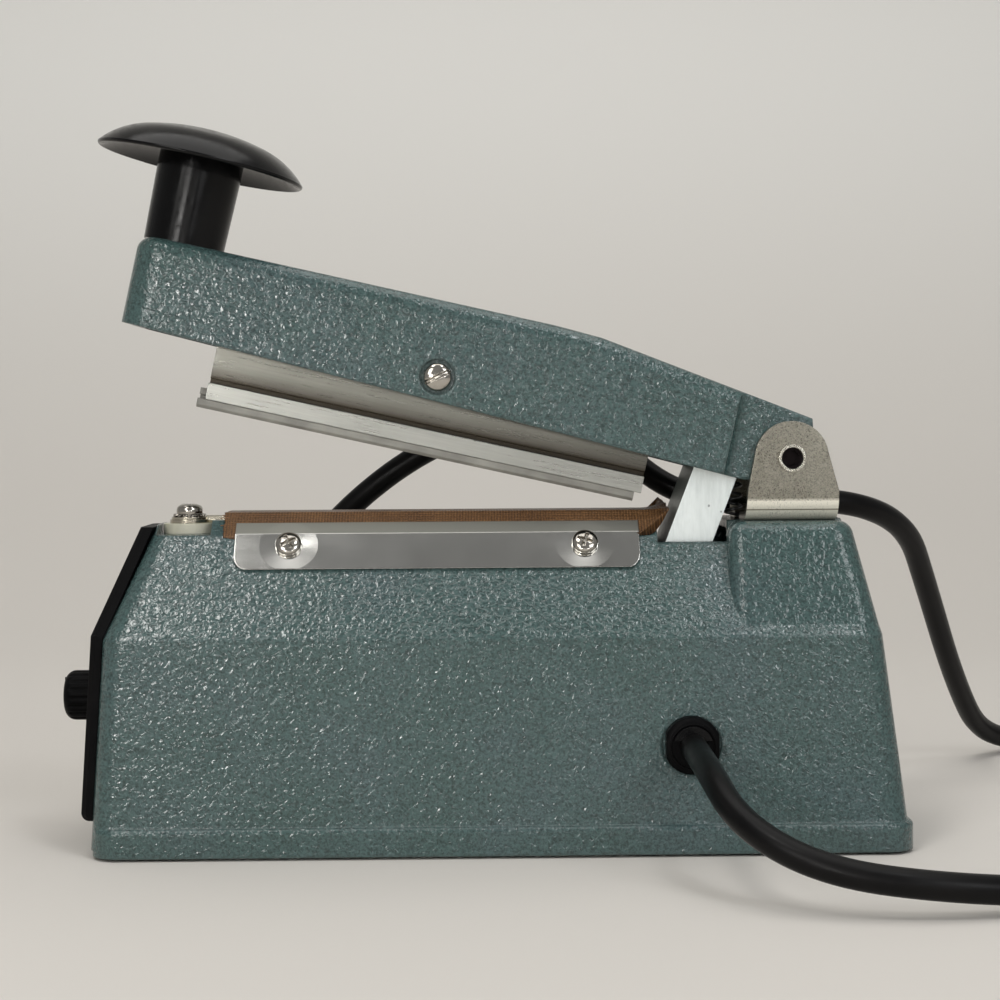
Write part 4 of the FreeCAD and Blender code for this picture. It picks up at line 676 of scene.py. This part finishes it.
def dome_points(radius, height, kind, turn):
    """The middle and the rings of a domed head, lowered where its recess is."""
    middle = recess_depth(0.0, 0.0, radius, kind)
    verts = [(0.0, 0.0, height * (1.0 - RECESS_DEPTH * middle))]
    c = math.cos(turn)
    s = math.sin(turn)
    for ring in range(1, HEAD_RINGS + 1):
        r = radius * ring / HEAD_RINGS
        dome = height * (0.45 + 0.55 * math.sqrt(max(0.0, 1.0 - (r / radius) ** 2.5)))
        for x, y, z in circle(r, dome):
            cut = recess_depth(c * x + s * y, c * y - s * x, radius, kind)
            verts.append((x, y, z - RECESS_DEPTH * height * cut))
    return verts


def head_faces(rings):
    """A fan at the middle, quads between the rings and a face over the last one."""
    faces = [(0, 1 + i, 1 + (i + 1) % HEAD_STEPS) for i in range(HEAD_STEPS)]
    for ring in range(rings - 1):
        low = 1 + ring * HEAD_STEPS
        for i in range(HEAD_STEPS):
            j = (i + 1) % HEAD_STEPS
            faces.append((low + i, low + HEAD_STEPS + i, low + HEAD_STEPS + j, low + j))
    last = 1 + (rings - 1) * HEAD_STEPS
    faces.append(tuple(range(last, last + HEAD_STEPS)))
    return faces


def screw_head(name, centre, direction, head, kind, turn, shank, body, material):
    """Domed head with its recess, rounded rim and a plain shank. Head is radius and height,
    and shank is radius and length."""
    radius, height = head
    shank_r, shank_length = shank
    verts = dome_points(radius, height, kind, turn)
    verts += circle(radius * 1.01, height * 0.22)
    verts += circle(radius, 0.0)
    verts += circle(shank_r, 0.0)
    verts += circle(shank_r, -shank_length)
    screw = mesh_object(name, verts, head_faces(HEAD_RINGS + 4), material)
    placed(screw, centre, direction)
    screw.data.set_sharp_from_angle(angle=math.radians(38.0))
    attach(screw, body)
    return screw


def washer(name, centre, r_in, r_out, thick, teeth, material):
    """Flat ring on the base, or a lock washer whose teeth are cut in and twisted up."""
    steps = max(60, teeth * 8)
    verts = []
    for i in range(steps):
        angle = 2.0 * math.pi * i / steps
        outer = r_out
        lift = 0.0
        if teeth:
            phase = (i * teeth / steps) % 1.0
            if phase < TOOTH_SHARE:
                lift = TOOTH_LIFT * (phase / TOOTH_SHARE - 0.5)
            else:
                outer = r_out - TOOTH_GAP
        for r, z in ((r_in, 0.0), (outer, lift), (outer, thick + lift), (r_in, thick)):
            verts.append((r * math.cos(angle), r * math.sin(angle), z))
    faces = []
    for i in range(steps):
        a = 4 * i
        b = 4 * ((i + 1) % steps)
        for k in range(4):
            faces.append((a + k, b + k, b + (k + 1) % 4, a + (k + 1) % 4))
    ring = placed(mesh_object(name, verts, faces, material), centre, (0.0, 0.0, 1.0))
    ring.data.set_sharp_from_angle(angle=math.radians(30.0))
    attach(ring, "base")
    return ring


def make_plate_screws(material):
    """Two cross heads on each guard plate."""
    flank = math.radians(PLATE_FLANK)
    for side, sign in (("near", -1.0), ("far", 1.0)):
        out = Vector((0.0, sign * math.sin(flank), math.cos(flank)))
        for end, x, turn in zip(("left", "right"), PLATE_SCREWS_X, (0.5, 1.2)):
            seat = Vector((x, sign * PLATE_SCREW_Y, PLATE_SCREW_Z)) + out * PLATE_THICK
            screw_head(
                "plate_screw_" + side + "_" + end, seat, out, (3.5, 2.3), "cross", turn,
                (1.55, 6.0), "base", material)
    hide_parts("plate_screws")


def make_pivot_screw(material):
    """The slotted screw through the arm that the press bar rocks on."""
    pivot = PIN + Vector((
        -PIVOT_ALONG * math.cos(OPEN_TILT) + PIVOT_ABOVE * math.sin(OPEN_TILT), 0.0,
        PIVOT_ALONG * math.sin(OPEN_TILT) + PIVOT_ABOVE * math.cos(OPEN_TILT)))
    screw = screw_head(
        "bar_pivot_screw", pivot + Vector((0.0, -ARM_FACE_Y, 0.0)), (0.0, -1.0, 0.0),
        (3.75, 2.6), "slot", math.radians(25.0), (2.0, 37.8), "arm", material)
    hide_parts("cross_screw")


def make_terminal(materials):
    """The terminal's screw with a flat and a toothed washer."""
    top = screw_head(
        "terminal_head", (TERMINAL_X, 0.0, TERMINAL_SEAT + 2.6), (0.0, 0.0, 1.0),
        (3.6, 2.8), "cross", 0.35, (1.95, 18.0), "base", materials["screw"])
    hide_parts("terminal_screw")
    flat = washer(
        "terminal_flat_washer", (TERMINAL_X, 0.0, TERMINAL_SEAT + 1.0), 2.05, 5.0, 0.7, 0,
        materials["brass"])
    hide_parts("terminal_collar")
    washer(
        "terminal_lock_washer", (TERMINAL_X, 0.0, TERMINAL_SEAT + 1.9), 2.05, 4.5, 0.45, 14,
        materials["screw"])


# Release cloth, in millimetres: its lowest edge, how far that edge is short of the plates'
# ends, the stand off from the ridge, and the two corners that its curled end rises to

SKIRT_Z = 77.0
SKIRT_SHORT = 1.2
CLOTH_END = PLATE_X1 + CLOTH_LOOSE
CLOTH_STEP = 0.8
CLOTH_GAP = 0.16
CLOTH_THICK = 0.25
CORNER_NEAR = 92.0
CORNER_FAR = 94.6
SECTION_STEP = 0.7
TOP_STEPS = 8


def cloth_section():
    """The sheet's line across the ridge, from the near skirt to the far one, as y and z."""
    low_y = SHOULDER_HALF + (SHOULDER_Z - SKIRT_Z) / FLANK_SLOPE
    corners = [
        (low_y, SKIRT_Z), (SHOULDER_HALF, SHOULDER_Z), (DECK_HALF + 0.35, DECK_Z),
        (STRIP_HALF, CLOTH_TOP),
    ]
    half = []
    for (y0, z0), (y1, z1) in zip(corners, corners[1:]):
        pieces = max(2, round(math.hypot(y1 - y0, z1 - z0) / SECTION_STEP))
        for i in range(pieces):
            half.append((y0 + (y1 - y0) * i / pieces, z0 + (z1 - z0) * i / pieces))
    half.append(corners[-1])
    for i in range(1, TOP_STEPS + 1):
        half.append((STRIP_HALF * (1.0 - i / TOP_STEPS), CLOTH_TOP))
    line = [(-y, z) for y, z in half]
    return line + [(-y, z) for y, z in reversed(line[:-1])]


def section_run(section):
    """How far along the section each of its points is."""
    run = [0.0]
    for (y0, z0), (y1, z1) in zip(section, section[1:]):
        run.append(run[-1] + math.hypot(y1 - y0, z1 - z0))
    return run


def cloth_point(x, y, z, cut):
    """A point of the sheet, its right end curled up. Cut is how far the left end is off."""
    side = -1.0 if y < 0 else 1.0
    down = max(0.0, (CLOTH_TOP - z) / (CLOTH_TOP - SKIRT_Z))
    loose = max(0.0, (x - PLATE_X1 - CLOTH_FLAT) / (CLOTH_LOOSE - CLOTH_FLAT))
    shift = -1.6 * loose * down if cut is None else 0.5 * down + cut
    curl = loose ** 1.7
    corner = CORNER_NEAR if side < 0 else CORNER_FAR
    lift = curl * (corner - z) * (0.35 + 0.65 * down ** 0.5)
    out = curl * down * 1.2
    rise = 0.22 if z < DECK_Z + 0.5 else 0.0
    return (x + shift, y + side * (out + CLOTH_GAP), z + rise + lift)


def make_cloth(materials):
    """Release cloth: laid over the strip, tucked under the guard plates, its cut ends loose."""
    section = cloth_section()
    run = section_run(section)
    rng = random.Random(5)
    pieces = round((CLOTH_END - CLOTH_X0) / CLOTH_STEP)
    verts = []
    places = []
    for i in range(pieces + 1):
        for k, (y, z) in enumerate(section):
            loose = z > FLAP_LOW_Z
            first = CLOTH_X0 if loose else PLATE_X0 + SKIRT_SHORT
            last = CLOTH_END if loose else PLATE_X1 - SKIRT_SHORT
            x = first + (last - first) * i / pieces
            cut = rng.uniform(-0.25, 0.25) if i == 0 else None
            verts.append(cloth_point(x, y, z, cut))
            places.append((x - CLOTH_X0, run[k]))
    rows = len(section)
    faces = []
    for i in range(pieces):
        for k in range(rows - 1):
            a = i * rows + k
            faces.append((a, a + 1, a + rows + 1, a + rows))
    sheet = mesh_object("release_cloth_sheet", verts, faces, materials["cloth"])
    layer = sheet.data.uv_layers.new(name="UVMap")
    for loop in sheet.data.loops:
        layer.data[loop.index].uv = places[loop.vertex_index]
    thick = sheet.modifiers.new("thickness", "SOLIDIFY")
    thick.thickness = CLOTH_THICK * MM
    thick.offset = 1.0
    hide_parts("release_cloth")
    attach(sheet, "base")
    threads = make_threads(materials, section, rng)


def make_threads(materials, section, rng):
    """Frayed ends of the weave along the cut at the terminal's end."""
    curve = round_curve("frayed_threads", 0.13, 2, materials["thread"])
    for y, z in section[1:-1]:
        if z < FLAP_LOW_Z or rng.random() < 0.55:
            continue
        spline = curve.splines.new("NURBS")
        spline.points.add(3)
        length = rng.uniform(0.1, 1.0) ** 2
        sway = rng.uniform(-0.7, 0.7)
        side = -1.0 if y < 0 else 1.0
        above = -0.12 if z > DECK_Z + 1.0 else 0.2
        start = Vector((CLOTH_X0 + 0.8, y + side * 0.2, z + above))
        for i, place in enumerate(spline.points):
            share = i / 3.0
            droop = rng.uniform(-0.35, 0.0)
            bend = Vector((-(0.8 + length) * share, sway * share, droop * share))
            place.co = (*((start + bend) * MM), 1.0)
        spline.order_u = 3
        spline.use_endpoint_u = True
    threads = added("frayed_threads", curve)
    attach(threads, "base")
    return threads


# Bushing of the cord: the clamp's radius, that of its raised face, its height and its lower
# edge above the middle, and the rim's radius and thickness

CLAMP_R = 5.6
CLAMP_FACE_R = 5.25
CLAMP_HEIGHT = 0.55
CLAMP_LOW = 1.7
CLAMP_STEPS = 28
RIM_R = 6.0
RIM_THICK = 0.28
RIM_POINTS = 16


def make_gland_clamp(material):
    """Clamp half in the upper part of the bushing's face."""
    low = math.asin(CLAMP_LOW / CLAMP_R)
    verts = []
    for y, r in ((0.0, CLAMP_R), (-CLAMP_HEIGHT, CLAMP_FACE_R)):
        for i in range(CLAMP_STEPS + 1):
            angle = low + (math.pi - 2.0 * low) * i / CLAMP_STEPS
            x = GLAND_X + r * math.cos(angle)
            verts.append((x, GLAND_FACE_Y + y + 0.05, GLAND_Z + r * math.sin(angle)))
    count = CLAMP_STEPS + 1
    faces = []
    for i in range(count):
        j = (i + 1) % count
        faces.append((i, j, count + j, count + i))
    faces.append(tuple(range(count, 2 * count)))
    clamp = mesh_object("gland_clamp", verts, faces, material, smooth=False)
    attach(clamp, "base")


def make_gland_rim(material):
    """Rim round the bushing's face."""
    curve = round_curve("gland_rim", RIM_THICK, 3, material)
    spline = curve.splines.new("NURBS")
    spline.points.add(RIM_POINTS - 1)
    centre = Vector((GLAND_X, GLAND_FACE_Y - 0.02, GLAND_Z))
    for i, place in enumerate(spline.points):
        angle = 2.0 * math.pi * i / RIM_POINTS
        around = Vector((math.cos(angle), 0.0, math.sin(angle))) * RIM_R
        place.co = (*((centre + around) * MM), 1.0)
    spline.order_u = 4
    spline.use_cyclic_u = True
    rim = added("gland_rim", curve)
    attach(rim, "base")


# Dial print: a tick each 7.5 degrees, a long one at each number and the numbers outside
# them, from 225 degrees at the lower left. Ticks have an inner and outer radius and half width.

DIAL_START = 225.0
TICK_TURN = 7.5
TICKS = 37
TICKS_PER_NUMBER = 4
LONG_TICK = (8.4, 10.2, 0.22)
SHORT_TICK = (8.4, 9.4, 0.13)
NUMBER_R = 12.6
NUMBER_HEIGHT = 3.4
PRINT_GAP = 0.05
PANEL_ACROSS = Vector((0.0, -1.0, 0.0))
PANEL_UP = Vector((math.sin(PANEL_LEAN), 0.0, math.cos(PANEL_LEAN)))
PANEL_OUT = Vector((-math.cos(PANEL_LEAN), 0.0, math.sin(PANEL_LEAN)))


def dial_centre():
    """The dial's middle, just off the panel's leaning face."""
    face_x = PANEL_LOW[0] + (DIAL_Z - PANEL_LOW[1]) * math.tan(PANEL_LEAN)
    return Vector((face_x, 0.0, DIAL_Z)) + PANEL_OUT * PRINT_GAP


def dial_ray(tick):
    """The way from the dial's middle to a tick, and the way across it."""
    angle = math.radians(DIAL_START - TICK_TURN * tick)
    ray = PANEL_ACROSS * math.cos(angle) + PANEL_UP * math.sin(angle)
    side = PANEL_ACROSS * -math.sin(angle) + PANEL_UP * math.cos(angle)
    return ray, side


def make_dial_ticks(material):
    centre = dial_centre()
    verts = []
    faces = []
    for tick in range(TICKS):
        ray, side = dial_ray(tick)
        r0, r1, half = SHORT_TICK if tick % TICKS_PER_NUMBER else LONG_TICK
        for r, w in ((r0, -half), (r0, half), (r1, half), (r1, -half)):
            verts.append(centre + ray * r + side * w)
        faces.append(tuple(range(4 * tick, 4 * tick + 4)))
    ticks = mesh_object("dial_ticks", verts, faces, material, smooth=False)
    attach(ticks, "base")


def number_mesh(number):
    """A number's flat shape about the origin."""
    text = bpy.data.curves.new("digit", "FONT")
    text.body = str(number)
    text.size = NUMBER_HEIGHT * MM
    text.align_x = "CENTER"
    text.align_y = "CENTER"
    holder = bpy.data.objects.new("digit", text)
    mesh = bpy.data.meshes.new_from_object(holder)
    bpy.data.objects.remove(holder)
    return mesh


def make_dial_numbers(material):
    turn = Matrix((PANEL_ACROSS, PANEL_UP, PANEL_OUT)).transposed().to_4x4()
    for number in range(10):
        ray = dial_ray(number * TICKS_PER_NUMBER)[0]
        mesh = number_mesh(number)
        mesh.transform(Matrix.Translation((dial_centre() + ray * NUMBER_R) * MM) @ turn)
        mesh.materials.clear()
        mesh.materials.append(material)
        digit = added("dial_number_" + str(number), mesh)
        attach(digit, "base")


# Power cord: the route of the part's source, in metres, then the coil's turns and the plug's end

def at(x, y, z):
    """A point of the source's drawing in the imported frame, in metres."""
    return Vector((x + SHIFT_X, y, z)) * MM


CORD_ROUTE = [
    at(49.4, -38.98, 29.3), at(49.4, -65.5, 29.3), at(54.5, -90.0, 19.0),
    at(72.0, -103.0, 10.5), at(100.0, -107.0, 7.2), at(134.0, -99.0, 4.2),
    at(167.0, -73.0, FLOOR), at(193.0, -38.0, FLOOR), at(215.0, -2.0, FLOOR),
    at(232.0, 36.0, FLOOR), at(240.0, 72.0, FLOOR), at(240.0, 104.0, FLOOR),
    at(221.5, 128.0, FLOOR), at(192.5, 135.0, FLOOR), at(166.0, 122.0, 6.0),
    at(150.0, 95.0, 29.5), at(133.0, 62.0, 64.0), at(122.5, 40.0, 83.0),
    at(102.0, 24.4, 91.3), at(76.0, 22.7, DECK_Z - 0.8 + FLOOR), at(52.0, 23.6, 92.5),
    at(33.0, 31.5, 108.0), at(6.0, 34.0, 117.0), at(-22.0, 36.0, 107.0),
    at(-47.0, 41.0, 88.0), at(-66.0, 53.0, 64.0), at(-77.0, 67.5, 44.5),
    at(-83.0, 82.0, 30.0), at(-86.5, 97.0, 21.5),
]
COIL_AT = (-48.0, 112.0)
COIL_R = 36.0

# Radius and height of each turn's end: the four turns lie two beside and two on each other
COIL_TURNS = [
    (COIL_R + 3.6, 11.9), (COIL_R + 3.6, FLOOR), (COIL_R - 3.6, FLOOR), (COIL_R - 3.6, 11.9),
]
COIL_START = (COIL_R + 3.6, 19.1)
POINTS_PER_TURN = 16
CORD_TAIL = [
    at(-80.4, 114.0, 12.2), at(-80.4, 125.6, 15.6), at(-76.1, 135.9, 18.3),
    at(-68.3, 143.7, 19.1), at(-58.0, 148.0, 19.1), at(-46.8, 148.0, 18.8),
    at(-31.0, 148.0, 16.0), at(-18.0, 148.0, 12.2), at(-6.0, 148.0, 9.9),
    at(3.0, 148.0, 9.6),
]


def coil_points():
    """The coil's turns, each of which steps to its own radius and height in its first quarter."""
    points = []
    before = COIL_START
    for end in COIL_TURNS:
        for i in range(POINTS_PER_TURN):
            share = i / POINTS_PER_TURN
            step = min(1.0, share * 4.0)
            r = before[0] + (end[0] - before[0]) * step
            z = before[1] + (end[1] - before[1]) * step
            angle = math.pi + 2.0 * math.pi * share
            x = COIL_AT[0] + r * math.cos(angle)
            points.append(at(x, COIL_AT[1] - r * math.sin(angle), z))
        before = end
    return points


def make_cord(material):
    """The mains cord from the bushing to the plug, as one smooth line."""
    points = CORD_ROUTE + coil_points() + CORD_TAIL
    curve = round_curve("mains_cord", CORD_R, 6, material)
    curve.resolution_u = 10
    curve.use_fill_caps = True
    spline = curve.splines.new("NURBS")
    spline.points.add(len(points) - 1)
    for place, point in zip(spline.points, points):
        place.co = (*point, 1.0)
    spline.order_u = 3
    spline.use_endpoint_u = True
    cord = added("mains_cord", curve)
    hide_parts("power_cord", "cord_coil", "cord_tail")
    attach(cord, "base")


# Floor, backdrop and light

# Sweep, in metres: half its width, where the floor starts and where it bends up, the bend's
# radius and the height of its top

SWEEP_HALF = 3.0
SWEEP_FRONT = -2.5
SWEEP_BEND_AT = 0.45
SWEEP_BEND_R = 1.0
SWEEP_TOP = 3.0
SWEEP_STEPS = 24


def sweep_profile():
    """The sweep's line from the front of the floor to the top of the backdrop, as y and z."""
    profile = [(SWEEP_FRONT, 0.0), (SWEEP_BEND_AT, 0.0)]
    for i in range(1, SWEEP_STEPS + 1):
        angle = math.radians(90.0 * i / SWEEP_STEPS)
        y = SWEEP_BEND_AT + SWEEP_BEND_R * math.sin(angle)
        profile.append((y, SWEEP_BEND_R - SWEEP_BEND_R * math.cos(angle)))
    profile.append((SWEEP_BEND_AT + SWEEP_BEND_R, SWEEP_TOP))
    return profile


def sweep_paper():
    """Pale paper, painted lighter further up to make up for the weaker light on the backdrop."""
    s = Shader("sweep", roughness=0.85, Specular_IOR_Level=0.2)
    split = s.nodes.new("ShaderNodeSeparateXYZ")
    s.link(s.coords, split.inputs["Vector"])
    # Painted light: the colour grows lighter with height, where the backdrop gets less light.
    paper = s.ramp(split.outputs["Z"], [(0.0, srgb(217, 213, 207)), (0.5, srgb(248, 247, 243))])
    paper.node.color_ramp.interpolation = "EASE"
    s.color(paper)
    return s.material


def make_stage():
    """A floor that bends up into a backdrop."""
    profile = sweep_profile()
    verts = []
    for y, z in profile:
        verts.append((-SWEEP_HALF, y, z))
        verts.append((SWEEP_HALF, y, z))
    faces = []
    for i in range(len(profile) - 1):
        faces.append((2 * i, 2 * i + 1, 2 * i + 3, 2 * i + 2))
    mesh = bpy.data.meshes.new("sweep")
    mesh.from_pydata(verts, [], faces)
    mesh.polygons.foreach_set("use_smooth", [True] * len(mesh.polygons))
    mesh.materials.append(sweep_paper())
    added("sweep", mesh)


WARM = (1.0, 0.98, 0.95)
COOL = (0.97, 0.98, 1.0)
AIM = (0.0, 0.0, 0.06)
WORLD_COLOR = (0.93, 0.92, 0.90, 1.0)
WORLD_STRENGTH = 0.3

# Name, place, point that it faces, width and height in metres, watts, colour and spread
LAMPS = [
    ("overhead", (0.0, 0.1, 1.5), (0.0, 0.0, 0.0), (1.4, 1.2), 7.8, WARM, 180.0),
    ("left", (-0.75, -1.25, 0.75), AIM, (0.5, 0.7), 4.5, WARM, 180.0),
    ("right", (0.8, -1.1, 0.75), AIM, (0.5, 0.6), 4.0, COOL, 180.0),
    ("strip_left", (-0.5, -1.34, 0.24), AIM, (0.3, 0.09), 0.26, WARM, 60.0),
    ("strip_middle", (-0.06, -1.45, 0.16), AIM, (0.5, 0.05), 0.045, WARM, 60.0),
    ("strip_right", (0.5, -1.36, 0.24), AIM, (0.24, 0.08), 0.085, COOL, 60.0),
    ("glint_left_high", (-0.44, -0.57, 1.34), AIM, (0.26, 0.26), 2.8, WARM, 180.0),
    ("glint_right_high", (0.42, -0.62, 1.3), AIM, (0.2, 0.2), 1.4, COOL, 180.0),
]


def area_light(name, place, look_at, size, power, color, spread):
    data = bpy.data.lights.new(name, "AREA")
    data.shape = "RECTANGLE"
    data.size, data.size_y = size
    data.energy = power
    data.color = color
    data.spread = math.radians(spread)
    light = added(name, data)
    light.location = place
    facing = Vector(look_at) - Vector(place)
    light.rotation_euler = facing.to_track_quat("-Z", "Y").to_euler()


def make_lights():
    world = bpy.data.worlds.new("world")
    bpy.context.scene.world = world
    world.use_nodes = True
    background = world.node_tree.nodes["Background"]
    background.inputs["Color"].default_value = WORLD_COLOR
    background.inputs["Strength"].default_value = WORLD_STRENGTH
    for lamp in LAMPS:
        area_light(*lamp)


make_camera()
make_stage()
make_lights()
MATERIALS = make_materials()
for finish, names in NODE_FINISH.items():
    dress(names, MATERIALS[finish])
make_plate_screws(MATERIALS["screw"])
make_pivot_screw(MATERIALS["screw"])
make_terminal(MATERIALS)
make_cloth(MATERIALS)
make_gland_clamp(MATERIALS["knob"])
make_gland_rim(MATERIALS["panel"])
make_dial_ticks(MATERIALS["print"])
make_dial_numbers(MATERIALS["print"])
make_cord(MATERIALS["cord"])
